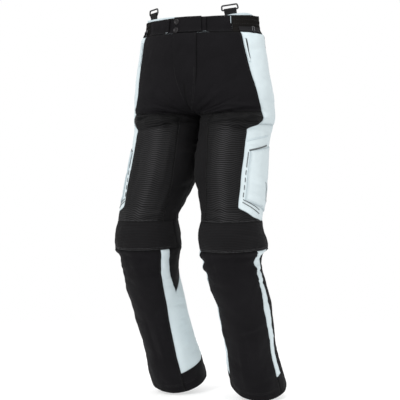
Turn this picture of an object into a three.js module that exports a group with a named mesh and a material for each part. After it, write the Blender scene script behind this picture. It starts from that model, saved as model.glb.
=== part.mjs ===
import * as THREE from "three";

// Motorcycle trousers, worn by no one and standing in the round. Sizes in mm. The origin is in the
// middle of the waist opening, the front faces -Y, the wearer's left is +X and z = 0 is the waist edge.
// A place on the cloth is (side, s, t): side 1 is the wearer's left half and -1 the right, s is the drop
// below the waist, t runs round that half from the centre front (or the inseam) at 0 over the side
// at 0.5 to the centre back (or the inseam again) at 1.

const CLOTH = 2;
const KNEE_CLOTH = 3;
const SEAM = 0.3;
const BAND_BOTTOM = -51;
const YOKE_BOTTOM = -268;
const HIP_SIDE_BOTTOM = -302;
const KNEE_TOP = -564;
const KNEE_BOTTOM = -640;
const WEDGE_BOTTOM = -764;
const GUSSET_BOTTOM = -985;
const HEM = -1031;
const BACK_RISE = 12;
const BACK_RISE_FADE = 220;
const WEDGE_RISE = 56;
const WEDGE_TIP = 0.028;

// Waistband: the seams between its front, side and back parts in t, the gap at its lower edge, and
// the cloth laid on it or behind it.
const BAND_SEAM_R = 0.278;
const BAND_SEAM_L = 0.258;
const BAND_NOTCH_R = 0.006;
const BAND_REAR = 0.62;
const BAND_GAP = 0.6;
const BAND_HALF_LENGTH = 520;
const TAB_LIFT = CLOTH + 0.6;
const FLY_LIFT = CLOTH + 1;
const FACING_CLOTH = 1.5;
const FACING_LIFT = -CLOTH - 1;
const TRIM_CLOTH = 1.6;
const ADJUSTER_LIFT = 2.6;
const BELT_LOOP_HALF = 0.0105;

const POCKET_TOP = -376;
const POCKET_BOTTOM = -508;
const POCKET_RISE = 15;
const POCKET_FALL = 32;
const POCKET_LIFT = CLOTH + 1;
const WELT_TOP = -70;
const WELT_BOTTOM = -132;
const WELT_WIDTH = 0.013;
const WELT_INSET = 0.004;
const WELT_CLOTH = 1.4;
const WELT_LIFT = 2.2;

// Brace loops and their rings: the bar's height over the waist edge, the play round it, how far
// under it the webbing's two layers meet, and the webbing's own layer.
const RING_WIDTH = 50;
const RING_HEIGHT = 17;
const RING_WIRE = 2.2;
const RING_CORNER = 4;
const RING_TAPER = 1.5;
const BAR_Z = 11;
const BAR_PLAY = 0.5;
const THROAT = 9;
const WEB = 1.3;
const LOOP_WIDTH = 34;
const LOOP_LIFT = -7.2;
const LOOP_FOOT = -30;
const SNAP_RADIUS = 8.5;

// The body as one ellipse a row: half width, depth forward and back of its middle, and that middle's y.
const BODY = [
  { s: 0, half: 166, front: 98, back: 110, mid: 24 },
  { s: -25, half: 168, front: 99, back: 112, mid: 23 },
  { s: -43, half: 171, front: 101, back: 115, mid: 24 },
  { s: -58, half: 182, front: 106, back: 122, mid: 24 },
  { s: -90, half: 187, front: 109, back: 127, mid: 22 },
  { s: -150, half: 196, front: 114, back: 137, mid: 22 },
  { s: -210, half: 205, front: 120, back: 143, mid: 26 },
  { s: -250, half: 208, front: 124, back: 140, mid: 30 },
  { s: -300, half: 208, front: 124, back: 134, mid: 32 },
];

// Each leg as one ring a row: its middle, half width, depth forward and back, and how far the ring
// leans: lean is rise per mm back, tiltR and tiltL are rise per mm outward of either leg.
const LEG = [
  { s: -180, x: 105, y: 40, half: 102, front: 114, back: 116, lean: 0, tiltR: 0, tiltL: 0 },
  { s: -280, x: 104, y: 38, half: 101, front: 112, back: 112, lean: 0, tiltR: 0, tiltL: 0 },
  { s: -320, x: 102, y: 26, half: 99, front: 110, back: 108, lean: 0, tiltR: 0, tiltL: 0 },
  { s: -360, x: 101, y: 12, half: 98, front: 109, back: 104, lean: 0, tiltR: 0, tiltL: 0 },
  { s: -400, x: 102, y: -1, half: 99, front: 109, back: 103, lean: 0, tiltR: 0, tiltL: 0 },
  { s: -440, x: 105, y: -13, half: 99, front: 108, back: 101, lean: 0, tiltR: 0, tiltL: 0 },
  { s: -480, x: 113, y: -24, half: 94, front: 104, back: 97, lean: 0, tiltR: 0, tiltL: 0 },
  { s: -520, x: 121, y: -39, half: 87, front: 98, back: 91, lean: 0.01, tiltR: 0, tiltL: 0 },
  { s: -556, x: 127, y: -55, half: 82, front: 94, back: 87, lean: 0.03, tiltR: 0, tiltL: 0 },
  { s: -590, x: 127, y: -58, half: 87, front: 102, back: 89, lean: 0.04, tiltR: 0, tiltL: 0 },
  { s: -618, x: 129, y: -52, half: 92, front: 106, back: 91, lean: 0.06, tiltR: 0, tiltL: 0 },
  { s: -641, x: 130, y: -45, half: 92, front: 104, back: 88, lean: 0.08, tiltR: 0, tiltL: 0 },
  { s: -655, x: 125, y: -49, half: 85, front: 95, back: 83, lean: 0.1, tiltR: 0, tiltL: 0 },
  { s: -700, x: 127, y: -41, half: 77, front: 88, back: 80, lean: 0.18, tiltR: 0, tiltL: -0.02 },
  { s: -740, x: 131, y: -20, half: 75, front: 85, back: 80, lean: 0.24, tiltR: 0, tiltL: -0.04 },
  { s: -800, x: 133, y: 17, half: 74, front: 83, back: 79, lean: 0.29, tiltR: 0, tiltL: -0.07 },
  { s: -860, x: 131, y: 47, half: 72, front: 81, back: 77, lean: 0.33, tiltR: -0.01, tiltL: -0.11 },
  { s: -920, x: 127, y: 76, half: 71, front: 80, back: 76, lean: 0.37, tiltR: -0.03, tiltL: -0.15 },
  { s: -980, x: 126, y: 108, half: 76, front: 84, back: 80, lean: 0.4, tiltR: -0.04, tiltL: -0.2 },
  { s: -1031, x: 126, y: 138, half: 80, front: 88, back: 83, lean: 0.4, tiltR: 0.12, tiltL: -0.26 },
];

// Where the body's ellipse turns into two leg rings. From FORK down, t runs right round the leg.
const SPLIT_FROM = -120;
const SPLIT_TO = -300;
const FORK = -290;

// How far the centre seams hang on the way to the crotch.
const DROP = [
  { s: -120, drop: 0 },
  { s: -205, drop: -36 },
  { s: -305, drop: 8 },
  { s: -420, drop: 0 },
];

// Upright seams: t at each drop, on the right and on the left half.
const MESH_IN = [
  { s: -51, right: 0.13, left: 0.15 },
  { s: -300, right: 0.133, left: 0.185 },
  { s: -420, right: 0.13, left: 0.205 },
  { s: -480, right: 0.117, left: 0.195 },
  { s: -564, right: 0.08, left: 0.15 },
];
const SIDE_FRONT = [
  { s: -51, right: 0.305, left: 0.3 },
  { s: -110, right: 0.308, left: 0.32 },
  { s: -160, right: 0.308, left: 0.342 },
  { s: -200, right: 0.315, left: 0.368 },
  { s: -240, right: 0.35, left: 0.4 },
  { s: -268, right: 0.4, left: 0.426 },
  { s: -290, right: 0.4, left: 0.43 },
  { s: -302, right: 0.375, left: 0.42 },
  { s: -316, right: 0.35, left: 0.372 },
  { s: -380, right: 0.352, left: 0.374 },
  { s: -460, right: 0.352, left: 0.362 },
  { s: -524, right: 0.345, left: 0.351 },
  { s: -540, right: 0.385, left: 0.404 },
  { s: -552, right: 0.43, left: 0.447 },
  { s: -564, right: 0.5, left: 0.52 },
];
const SIDE_REAR = [
  { s: -51, right: 0.58, left: 0.58 },
  { s: -268, right: 0.6, left: 0.6 },
  { s: -564, right: 0.61, left: 0.61 },
];
const WEDGE_FRONT = [
  { s: -640, right: 0.066, left: 0.066 },
  { s: -720, right: 0.045, left: 0.045 },
  { s: -764, right: WEDGE_TIP, left: WEDGE_TIP },
  { s: -985, right: 0.02, left: 0.02 },
];
const GUSSET_FRONT = [
  { s: -640, right: 0.113, left: 0.113 },
  { s: -735, right: 0.105, left: 0.105 },
  { s: -834, right: 0.12, left: 0.12 },
  { s: -985, right: 0.136, left: 0.136 },
  { s: -1031, right: 0.136, left: 0.136 },
];
const STRIPE_FRONT = [
  { s: -640, right: 0.44, left: 0.436 },
  { s: -680, right: 0.455, left: 0.458 },
  { s: -738, right: 0.465, left: 0.47 },
  { s: -800, right: 0.455, left: 0.452 },
  { s: -900, right: 0.465, left: 0.47 },
  { s: -1031, right: 0.465, left: 0.465 },
];
const STRIPE_REAR = 0.512;
const GUSSET_REAR = 0.88;
const KNEE_IN = 0.02;
const KNEE_OUT = 0.55;

// Main folds: a soft ridge (height over 0) or trough at (s, t), reach in t, width in s, and the
// slant of its line in mm of drop for each unit of t. Side 0 is on both legs.
const FOLDS = [
  { side: -1, s: -264, t: 0.22, reach: 0.17, width: 8, height: -5, slant: -30 },
  { side: -1, s: -286, t: 0.2, reach: 0.16, width: 12, height: 8, slant: -30 },
  { side: -1, s: -306, t: 0.18, reach: 0.13, width: 8, height: -5, slant: -60 },
  { side: 1, s: -266, t: 0.27, reach: 0.16, width: 9, height: -6, slant: 30 },
  { side: 1, s: -289, t: 0.33, reach: 0.13, width: 14, height: 11, slant: 20 },
  { side: 1, s: -316, t: 0.33, reach: 0.12, width: 8, height: -5, slant: 40 },
  { side: -1, s: -222, t: 0.12, reach: 0.06, width: 9, height: -3, slant: 260 },
  { side: 1, s: -226, t: 0.12, reach: 0.05, width: 8, height: -3, slant: 330 },
  { side: -1, s: -245, t: 0.14, reach: 0.06, width: 7, height: 3, slant: 170 },
  { side: 1, s: -248, t: 0.15, reach: 0.07, width: 7, height: 2.5, slant: 190 },
  { side: -1, s: -430, t: 0.24, reach: 0.025, width: 110, height: 2.5, slant: 0 },
  { side: 1, s: -420, t: 0.29, reach: 0.03, width: 90, height: 2, slant: 0 },
  { side: 0, s: -338, t: 0.84, reach: 0.1, width: 12, height: -4, slant: 70 },
  { side: -1, s: -236, t: 0.83, reach: 0.08, width: 11, height: -4, slant: -90 },
  { side: 1, s: -228, t: 0.8, reach: 0.1, width: 12, height: -4, slant: -60 },
  { side: -1, s: -540, t: 0.8, reach: 0.1, width: 12, height: -4, slant: 20 },
  { side: 1, s: -533, t: 0.76, reach: 0.12, width: 11, height: -4, slant: -30 },
  { side: -1, s: -588, t: 0.78, reach: 0.12, width: 12, height: 4, slant: -20 },
  { side: 1, s: -582, t: 0.8, reach: 0.11, width: 13, height: 4, slant: 30 },
  { side: 0, s: -616, t: 0.78, reach: 0.13, width: 10, height: -5, slant: 0 },
  { side: -1, s: -676, t: 0.74, reach: 0.1, width: 12, height: -4, slant: 40 },
  { side: 1, s: -684, t: 0.7, reach: 0.1, width: 13, height: -4, slant: -40 },
  { side: -1, s: -690, t: 0.4, reach: 0.08, width: 10, height: -2.5, slant: 90 },
  { side: 1, s: -672, t: 0.46, reach: 0.07, width: 9, height: -3, slant: -120 },
  { side: 1, s: -706, t: 0.47, reach: 0.06, width: 9, height: 3, slant: -90 },
  { side: -1, s: -800, t: 0.62, reach: 0.12, width: 16, height: -2.5, slant: 80 },
  { side: 1, s: -830, t: 0.66, reach: 0.1, width: 15, height: -2.5, slant: -70 },
  { side: -1, s: -925, t: 0.3, reach: 0.1, width: 16, height: -2, slant: 60 },
  { side: 1, s: -940, t: 0.27, reach: 0.12, width: 14, height: -2, slant: -50 },
];

// How far the outer waistband and the pale facing behind it stand over z = 0 round the waist.
const RIM = [
  { t: 0, bandR: -8, bandL: -8, facingR: -9, facingL: -9 },
  { t: 0.07, bandR: -8.5, bandL: -8, facingR: -5, facingL: -9 },
  { t: 0.2, bandR: -10, bandL: -6, facingR: -4, facingL: -7 },
  { t: 0.27, bandR: -10, bandL: -5, facingR: -4, facingL: -1 },
  { t: 0.36, bandR: -10, bandL: -4, facingR: -3, facingL: 3 },
  { t: 0.42, bandR: -8, bandL: -3, facingR: 0, facingL: 1 },
  { t: 0.48, bandR: -5, bandL: -3, facingR: 1, facingL: -3 },
  { t: 0.6, bandR: 0, bandL: 0, facingR: 0, facingL: 0 },
  { t: 1, bandR: 0, bandL: 0, facingR: -1, facingL: -1 },
];

const SLOTS = {
  shell_dark: { color: 0x2b2a2c, roughness: 0.85 },
  shell_pale: { color: 0xd8e4e8, roughness: 0.75 },
  mesh_dark: { color: 0x37363a, roughness: 0.8 },
  stretch_dark: { color: 0x303033, roughness: 0.9 },
  facing_pale: { color: 0xd3dcdf, roughness: 0.85 },
  elastic_dark: { color: 0x2c2724, roughness: 0.9 },
  webbing_dark: { color: 0x242326, roughness: 0.8 },
  ring_metal: { color: 0x77787c, roughness: 0.35, metalness: 1 },
  snap_metal: { color: 0x4a4a4e, roughness: 0.4, metalness: 1 },
};

// A smooth curve through the rows of a table that never swings past them.
function track(rows, key, along = "s") {
  const list = [...rows].sort((p, q) => p[along] - q[along]);
  const x = list.map((row) => row[along]);
  const y = list.map((row) => row[key]);
  const last = x.length - 1;
  const step = (i) => (y[i + 1] - y[i]) / (x[i + 1] - x[i]);
  const slope = y.map((_, i) => {
    if (i === 0) return step(0);
    if (i === last) return step(last - 1);
    const before = step(i - 1);
    const after = step(i);
    if (before * after <= 0) return 0;
    const near = x[i] - x[i - 1];
    const far = x[i + 1] - x[i];
    return (3 * (near + far)) / ((2 * far + near) / before + (far + 2 * near) / after);
  });
  return (at) => {
    const v = Math.min(Math.max(at, x[0]), x[last]);
    let i = 0;
    while (i < last - 1 && v > x[i + 1]) i += 1;
    const h = x[i + 1] - x[i];
    const u = (v - x[i]) / h;
    const a = 2 * u ** 3 - 3 * u ** 2 + 1;
    const b = u ** 3 - 2 * u ** 2 + u;
    const c = u ** 3 - u ** 2;
    return a * y[i] + b * h * slope[i] + (1 - a) * y[i + 1] + c * h * slope[i + 1];
  };
}

function tracks(rows, keys, along = "s") {
  return Object.fromEntries(keys.map((key) => [key, track(rows, key, along)]));
}

function seamLine(rows) {
  const both = tracks(rows, ["right", "left"]);
  return (side, s) => (side < 0 ? both.right(s) : both.left(s));
}

const body = tracks(BODY, ["half", "front", "back", "mid"]);
const leg = tracks(LEG, ["x", "y", "half", "front", "back", "lean", "tiltR", "tiltL"]);
const drop = track(DROP, "drop");
const rim = tracks(RIM, ["bandR", "bandL", "facingR", "facingL"], "t");
const meshIn = seamLine(MESH_IN);
const sideFront = seamLine(SIDE_FRONT);
const sideRear = seamLine(SIDE_REAR);
const wedgeFront = seamLine(WEDGE_FRONT);
const gussetFront = seamLine(GUSSET_FRONT);
const stripeFront = seamLine(STRIPE_FRONT);

function clamp01(x) {
  return Math.min(Math.max(x, 0), 1);
}

function splitAt(s) {
  const u = clamp01((s - SPLIT_FROM) / (SPLIT_TO - SPLIT_FROM));
  return u ** 4 * (5 - 4 * u);
}

// The plain tube shape at (side, s, t), before folds.
function tube(side, s, t) {
  const half = Math.cos(Math.PI * t);
  const bodyX = body.half(s) * Math.sin(Math.PI * t);
  const bodyY = body.mid(s) - (half > 0 ? body.front(s) : body.back(s)) * half;
  const c = Math.cos(2 * Math.PI * t);
  const d = Math.sin(2 * Math.PI * t);
  const ringX = -leg.half(s) * c;
  const ringY = -(d > 0 ? leg.front(s) : leg.back(s)) * d;
  const split = splitAt(s);
  const tilt = side < 0 ? leg.tiltR(s) : leg.tiltL(s);
  const back = clamp01((t - 0.5) * 2) * clamp01(1 + s / BACK_RISE_FADE);
  const z = s + split * (leg.lean(s) * ringY + tilt * ringX)
    + drop(s) * Math.abs(half) ** 3 + BACK_RISE * back * back * (3 - 2 * back);
  return new THREE.Vector3(
    side * ((1 - split) * bodyX + split * (leg.x(s) + ringX)),
    (1 - split) * bodyY + split * (leg.y(s) + ringY),
    z,
  );
}

function across(point, side, s, t) {
  const along = point(side, s, t + 0.002).sub(point(side, s, t - 0.002));
  const up = point(side, s + 1, t).sub(point(side, s - 1, t));
  return { along, up };
}

function outward(side, s, t) {
  const { along, up } = across(tube, side, s, t);
  return along.cross(up).multiplyScalar(side).normalize();
}

function foldHeight(side, s, t) {
  let sum = 0;
  for (const fold of FOLDS) {
    if (fold.side !== 0 && fold.side !== side) continue;
    let dt = t - fold.t;
    if (fold.s < FORK) dt -= Math.round(dt);
    const ds = s - fold.s - fold.slant * dt;
    sum += fold.height * Math.exp(-((dt / fold.reach) ** 2) - (ds / fold.width) ** 2);
  }
  return sum;
}

// The outer face of the cloth, moved out by lift.
function skin(side, s, t, lift = 0) {
  return tube(side, s, t).addScaledVector(outward(side, s, t), foldHeight(side, s, t) + lift);
}

// The same place moved half a seam to one way (to) of t or of s. A seam that slants by slope, t for
// each mm of drop, is moved further along t, so that its two sides stay as far apart.
function besideT(side, s, t, to, slope = 0) {
  const scale = across(skin, side, s, t).along.length() / 0.004;
  return t + (to * SEAM * Math.hypot(1, slope * scale)) / 2 / scale;
}

function besideS(side, s, t, to) {
  return s + (to * SEAM) / 2 / (across(skin, side, s, t).up.length() / 2);
}

const group = new THREE.Group();

function add(name, slot, geometry) {
  const mesh = new THREE.Mesh(geometry, new THREE.MeshStandardMaterial({ ...SLOTS[slot], name: slot }));
  mesh.name = name;
  group.add(mesh);
}

// A closed wall from a grid of cells: at(row, column, layer) gives its corners, layer 0 the outer face
// and 1 the inner. A cell that has() leaves out is open, and every open edge is closed by a rim.
function wall(rows, columns, at, has = () => true) {
  const corners = [];
  const index = new Map();
  const triangles = [];
  const corner = (i, j, layer) => {
    const key = `${i},${j},${layer}`;
    if (!index.has(key)) {
      index.set(key, corners.length / 3);
      corners.push(...at(i, j, layer).toArray());
    }
    return index.get(key);
  };
  const here = (i, j) => i >= 0 && j >= 0 && i < rows && j < columns && has(i, j);
  // Both sides of a seam take the same diagonal, so that a twisted rim keeps its distance.
  const rimQuad = (p, q) => {
    const [a, b, c, d] = [corner(...p, 0), corner(...q, 0), corner(...q, 1), corner(...p, 1)];
    if (p[0] + p[1] < q[0] + q[1]) triangles.push([a, b, c], [a, c, d]);
    else triangles.push([a, b, d], [b, c, d]);
  };
  for (let i = 0; i < rows; i += 1) {
    for (let j = 0; j < columns; j += 1) {
      if (!here(i, j)) continue;
      const ring = [[i, j], [i, j + 1], [i + 1, j + 1], [i + 1, j]];
      const [a, b, c, d] = ring.map((p) => corner(...p, 0));
      const [e, f, g, h] = ring.map((p) => corner(...p, 1));
      triangles.push([a, d, b], [b, d, c], [e, f, h], [f, g, h]);
      if (!here(i - 1, j)) rimQuad(ring[0], ring[1]);
      if (!here(i, j + 1)) rimQuad(ring[1], ring[2]);
      if (!here(i + 1, j)) rimQuad(ring[2], ring[3]);
      if (!here(i, j - 1)) rimQuad(ring[3], ring[0]);
    }
  }
  let volume = 0;
  const p = triangles.map((triangle) => triangle.map((k) => new THREE.Vector3().fromArray(corners, 3 * k)));
  for (const [a, b, c] of p) volume += a.dot(b.clone().cross(c));
  const faces = volume < 0 ? triangles.map(([a, b, c]) => [a, c, b]) : triangles;
  const geometry = new THREE.BufferGeometry();
  geometry.setAttribute("position", new THREE.Float32BufferAttribute(corners, 3));
  geometry.setIndex(faces.flat());
  geometry.computeVertexNormals();
  return geometry;
}

// Evenly spread values between two ends, both included.
function spread(from, to, count) {
  return Array.from({ length: count + 1 }, (_, i) => from + ((to - from) * i) / count);
}

function rowsBetween(list, top, bottom) {
  return list.filter((s) => s <= top + 0.01 && s >= bottom - 0.01);
}

// A panel between upright seams: columnsAt(s) gives t at each column, and lineAt(s, t) the real drop.
function panel(name, slot, side, rows, columnsAt, options = {}) {
  const { thick = CLOTH, lift = 0, lineAt = (s) => s, inset = true, has, moved } = options;
  const last = rows.length - 1;
  const width = columnsAt(rows[0]).length - 1;
  const place = (i, j) => {
    let t = columnsAt(rows[i])[j];
    let s = lineAt(rows[i], t);
    if (!inset) return [s, t];
    const asked = moved ? moved(i, j) : null;
    const byT = asked ? asked[0] : (j === 0) - (j === width);
    const byS = asked ? asked[1] : (i === last) - (i === 0);
    if (byS) {
      const shifted = besideS(side, s, t, byS);
      t += columnsAt(rows[i] + shifted - s)[j] - t;
      s = shifted;
    }
    if (byT) {
      const slope = (columnsAt(rows[i] + 1)[j] - columnsAt(rows[i] - 1)[j]) / 2;
      t = besideT(side, s, t, byT, slope);
    }
    return [s, t];
  };
  const at = (i, j, layer) => {
    const [s, t] = place(i, j);
    return skin(side, s, t, lift - (layer ? thick : 0));
  };
  add(name, slot, wall(last, width, at, has));
}

// Drops of each region's rows.
const HIP_ROWS = [
  BAND_BOTTOM, WELT_TOP, -90, -111, WELT_BOTTOM, -153, -173, -191, -207, -221, -234, -246, -257,
  YOKE_BOTTOM,
];
const THIGH_ROWS = [
  YOKE_BOTTOM, -279, -290, HIP_SIDE_BOTTOM, -316, -334, -354, POCKET_TOP, -399, -422, -445, -468,
  -490, POCKET_BOTTOM, -524, -540, -552, KNEE_TOP,
];
const KNEE_ROWS = [KNEE_TOP, -579, -596, -613, -629, KNEE_BOTTOM];
const LOWER_ROWS = [
  KNEE_BOTTOM, -649, -662, -680, -701, -722, -743, WEDGE_BOTTOM, -789, -816, -844, -872, -900,
  -928, -956, GUSSET_BOTTOM,
];
const HEM_ROWS = [GUSSET_BOTTOM, -1000, -1016, HEM];
const SHIN_ROWS = [...LOWER_ROWS, ...HEM_ROWS.slice(1)];

// Columns of the side panel between its two seams, as shares of its width. The pocket spans them.
const POCKET_COLUMNS = [0.12, 0.28, 0.44, 0.6, 0.76];

for (const side of [-1, 1]) {
  const end = side < 0 ? "_r" : "_l";
  const meshColumns = (s) => spread(meshIn(side, s), sideFront(side, s), 6);
  const innerColumns = (s) => spread(0, meshIn(side, s), side < 0 ? 4 : 5);
  const yokeColumns = (s) => [...innerColumns(s), ...meshColumns(s).slice(1)];
  const sideColumns = (s) => {
    const from = sideFront(side, s);
    const to = sideRear(side, s);
    return [0, ...POCKET_COLUMNS, 1].map((f) => from + f * (to - from));
  };
  const rearColumns = (s) => spread(sideRear(side, s), 1, 9);

  panel("front_yoke" + end, "shell_dark", side, HIP_ROWS, yokeColumns);
  panel("hip_side" + end, "shell_pale", side,
    [...HIP_ROWS, ...rowsBetween(THIGH_ROWS, YOKE_BOTTOM, HIP_SIDE_BOTTOM).slice(1)], sideColumns);
  panel("seat" + end, "shell_dark", side, HIP_ROWS, rearColumns);
  panel("thigh_mesh" + end, "mesh_dark", side, THIGH_ROWS, meshColumns);
  panel("thigh_inner" + end, "stretch_dark", side, THIGH_ROWS, innerColumns);
  panel("thigh_back" + end, "shell_dark", side, THIGH_ROWS, rearColumns);
  panel("thigh_side" + end, "shell_pale", side,
    rowsBetween(THIGH_ROWS, HIP_SIDE_BOTTOM, KNEE_TOP), sideColumns);
  // The pocket's upper edge rises and its lower edge falls towards the back.
  const pocketLine = (s, t) => {
    const [first, last] = [sideColumns(s)[1], sideColumns(s).at(-2)];
    const down = (s - POCKET_TOP) / (POCKET_BOTTOM - POCKET_TOP);
    return s + (POCKET_RISE * (1 - down) - POCKET_FALL * down) * ((t - first) / (last - first));
  };
  panel("cargo_pocket" + end, "shell_pale", side, rowsBetween(THIGH_ROWS, POCKET_TOP, POCKET_BOTTOM),
    (s) => sideColumns(s).slice(1, -1), { lift: POCKET_LIFT, inset: false, lineAt: pocketLine });

  const weltColumns = (s) => {
    const from = sideFront(side, s) + WELT_INSET;
    return spread(from, from + WELT_WIDTH, 2);
  };
  panel("pocket_welt" + end, "shell_pale", side, rowsBetween(HIP_ROWS, WELT_TOP, WELT_BOTTOM),
    weltColumns, { thick: WELT_CLOTH, lift: WELT_LIFT, inset: false });

  panel("knee_front" + end, "stretch_dark", side, KNEE_ROWS, () => spread(KNEE_IN, KNEE_OUT, 12),
    { thick: KNEE_CLOTH });
  panel("knee_back" + end, "shell_dark", side, KNEE_ROWS, () => spread(KNEE_OUT, 1 + KNEE_IN, 10));

  // Rows of the lower leg's back rise towards the inner seam, as the wedge's lower edge does.
  const lineAt = (s, t) => {
    const reach = t > 0.5 ? (t - STRIPE_REAR) / (GUSSET_REAR - STRIPE_REAR)
      : (WEDGE_TIP - t) / (WEDGE_TIP + 1 - GUSSET_REAR);
    const above = clamp01((KNEE_BOTTOM - s) / (KNEE_BOTTOM - WEDGE_BOTTOM));
    const below = clamp01((s - GUSSET_BOTTOM) / (WEDGE_BOTTOM - GUSSET_BOTTOM));
    return s + WEDGE_RISE * clamp01(reach) * above * below;
  };
  const tip = LOWER_ROWS.indexOf(WEDGE_BOTTOM);
  const wedgeSpan = 4;
  const inside = (s) => [
    ...spread(GUSSET_REAR - 1, wedgeFront(side, s), wedgeSpan),
    ...spread(wedgeFront(side, s), gussetFront(side, s), 3).slice(1),
  ];
  panel("gusset" + end, "shell_pale", side, LOWER_ROWS, inside, {
    lineAt,
    has: (i, j) => i >= tip || j >= wedgeSpan,
    moved: (i, j) => {
      const onWedge = i <= tip && j <= wedgeSpan;
      const byT = onWedge && j === wedgeSpan ? 1 : (j === 0) - (j === wedgeSpan + 3);
      const byS = onWedge && i === tip ? -1 : (i === LOWER_ROWS.length - 1) - (i === 0);
      return [byT, byS];
    },
  });
  panel("knee_wedge" + end, "stretch_dark", side, LOWER_ROWS.slice(0, tip + 1),
    (s) => inside(s).slice(0, wedgeSpan + 1), { lineAt });
  panel("shin" + end, "shell_dark", side, SHIN_ROWS,
    (s) => spread(gussetFront(side, s), stripeFront(side, s), 7));
  panel("outer_stripe" + end, "shell_pale", side, LOWER_ROWS,
    (s) => spread(stripeFront(side, s), STRIPE_REAR, 2));
  panel("calf" + end, "shell_dark", side, LOWER_ROWS,
    () => spread(STRIPE_REAR, GUSSET_REAR, 8), { lineAt });
  panel("hem_guard" + end, "shell_dark", side, HEM_ROWS,
    (s) => spread(stripeFront(side, s), 1 + gussetFront(side, s), 14));
}

// A strip of cloth round the waist through places [side, t], on rows of share (0 at its top, 1 at the
// waistband's lower seam), with its own rim height.
function waistStrip(name, slot, places, shares, options) {
  const { lift, thick, rimOf = bandRim, gap = 0 } = options;
  const last = shares.length - 1;
  const at = (i, j, layer) => {
    const [side, t] = places[j];
    const s = BAND_BOTTOM * shares[i] + (i === last ? gap : 0);
    const out = (typeof lift === "function" ? lift(i) : lift) - (layer ? thick : 0);
    const point = skin(side, s, t, out);
    point.z += rimOf(side, t) * (1 - shares[i]);
    return point;
  };
  add(name, slot, wall(last, places.length - 1, at));
}

const bandRim = (side, t) => (side < 0 ? rim.bandR(t) : rim.bandL(t));
const facingRim = (side, t) => (side < 0 ? rim.facingR(t) : rim.facingL(t));
const oneSide = (side, from, to, count) => spread(from, to, count).map((t) => [side, t]);
const bandShares = [0, 0.34, 0.67, 1];
const band = { lift: 0, thick: CLOTH, gap: BAND_GAP };

const besideSeam = SEAM / 2 / BAND_HALF_LENGTH;
const frontR = oneSide(-1, besideSeam, BAND_SEAM_R, 7);
const frontL = oneSide(1, besideSeam, BAND_SEAM_L - besideSeam, 7);
const sideR = oneSide(-1, BAND_SEAM_R + BAND_NOTCH_R, BAND_REAR - besideSeam, 9);
const sideL = oneSide(1, BAND_SEAM_L + besideSeam, BAND_REAR - besideSeam, 9);
const backL = oneSide(1, BAND_REAR + besideSeam, 1, 9);
const backR = oneSide(-1, 1, BAND_REAR + besideSeam, 9).slice(1);
waistStrip("waistband_front_r", "shell_dark", frontR, bandShares, band);
waistStrip("waistband_front_l", "shell_dark", frontL, bandShares, band);
waistStrip("waistband_side_r", "elastic_dark", sideR, bandShares, band);
waistStrip("waistband_side_l", "elastic_dark", sideL, bandShares, band);
waistStrip("waistband_back", "shell_dark", [...backL, ...backR], bandShares, band);
waistStrip("waist_facing", "facing_pale", [
  ...frontL.slice(0, -1),
  ...sideL.slice(0, -1),
  ...backL,
  ...backR.slice(0, -1),
  ...[...sideR].reverse().slice(0, -1),
  ...[...frontR].reverse(),
], bandShares.slice(0, -1), { lift: FACING_LIFT, thick: FACING_CLOTH, rimOf: facingRim });

// A strip over the centre front, through both halves.
function frontPlaces(right, left, perSide) {
  return [
    ...oneSide(-1, right, 0, perSide).slice(0, -1),
    ...oneSide(1, 0, left, perSide),
  ];
}

// Tab with two snaps, from the left front over the right.
waistStrip("waist_tab", "shell_dark", frontPlaces(0.072, 0.084, 3), [-0.04, 0.34, 0.67, 0.97],
  { lift: TAB_LIFT, thick: CLOTH });

// Fly placket under the tab, narrowing to the crotch.
const FLY = [
  { s: -52, right: 0.068, left: 0.058 },
  { s: -91, right: 0.066, left: 0.058 },
  { s: -150, right: 0.049, left: 0.06 },
  { s: -183, right: 0.025, left: 0.055 },
  { s: -212, right: 0.008, left: 0.037 },
  { s: -226, right: 0.004, left: 0.022 },
];
const fly = tracks(FLY, ["right", "left"]);
const flyRows = [-52.5, -72, -91, -111, -131, -150, -167, -183, -198, -212, -226];
add("fly_placket", "shell_dark", wall(flyRows.length - 1, 6, (i, j, layer) => {
  const s = flyRows[i];
  const [side, t] = frontPlaces(fly.right(s), fly.left(s), 3)[j];
  return skin(side, s, t, FLY_LIFT - (layer ? CLOTH : 0));
}));

// Belt loops: the middle of each in t, and how far they stand off the band at each share of its height.
const BELT_LOOPS = [
  { name: "belt_loop_front_r", side: -1, t: 0.112 },
  { name: "belt_loop_front_l", side: 1, t: 0.1 },
  { name: "belt_loop_back_r", side: -1, t: 0.86 },
  { name: "belt_loop_back_l", side: 1, t: 0.86 },
];
const BELT_LOOP_ROWS = [
  { share: 0.03, off: 0.5 },
  { share: 0.16, off: 2.6 },
  { share: 0.5, off: 3.4 },
  { share: 0.84, off: 2.6 },
  { share: 0.99, off: 0.5 },
];
for (const { name, side, t } of BELT_LOOPS) {
  waistStrip(name, "shell_dark", oneSide(side, t - BELT_LOOP_HALF, t + BELT_LOOP_HALF, 2),
    BELT_LOOP_ROWS.map((row) => row.share),
    { lift: (i) => BELT_LOOP_ROWS[i].off + TRIM_CLOTH, thick: TRIM_CLOTH });
}

// Width adjusters round the foot of the side bands.
const adjuster = { lift: ADJUSTER_LIFT, thick: TRIM_CLOTH };
waistStrip("adjuster_r", "webbing_dark", oneSide(-1, 0.31, 0.5, 6), [0.67, 0.98], adjuster);
waistStrip("adjuster_l", "webbing_dark", oneSide(1, 0.3, 0.52, 7), [0.67, 0.98], adjuster);

// A frame on the cloth: origin at the place, x along the waist, y up and z out.
function frameAt(side, s, t, lift, level = true) {
  const out = outward(side, s, t);
  if (level) out.setZ(0).normalize();
  const along = new THREE.Vector3(0, 0, 1).cross(out).normalize();
  const up = out.clone().cross(along);
  return new THREE.Matrix4().makeBasis(along, up, out).setPosition(skin(side, s, t, lift));
}

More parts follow.
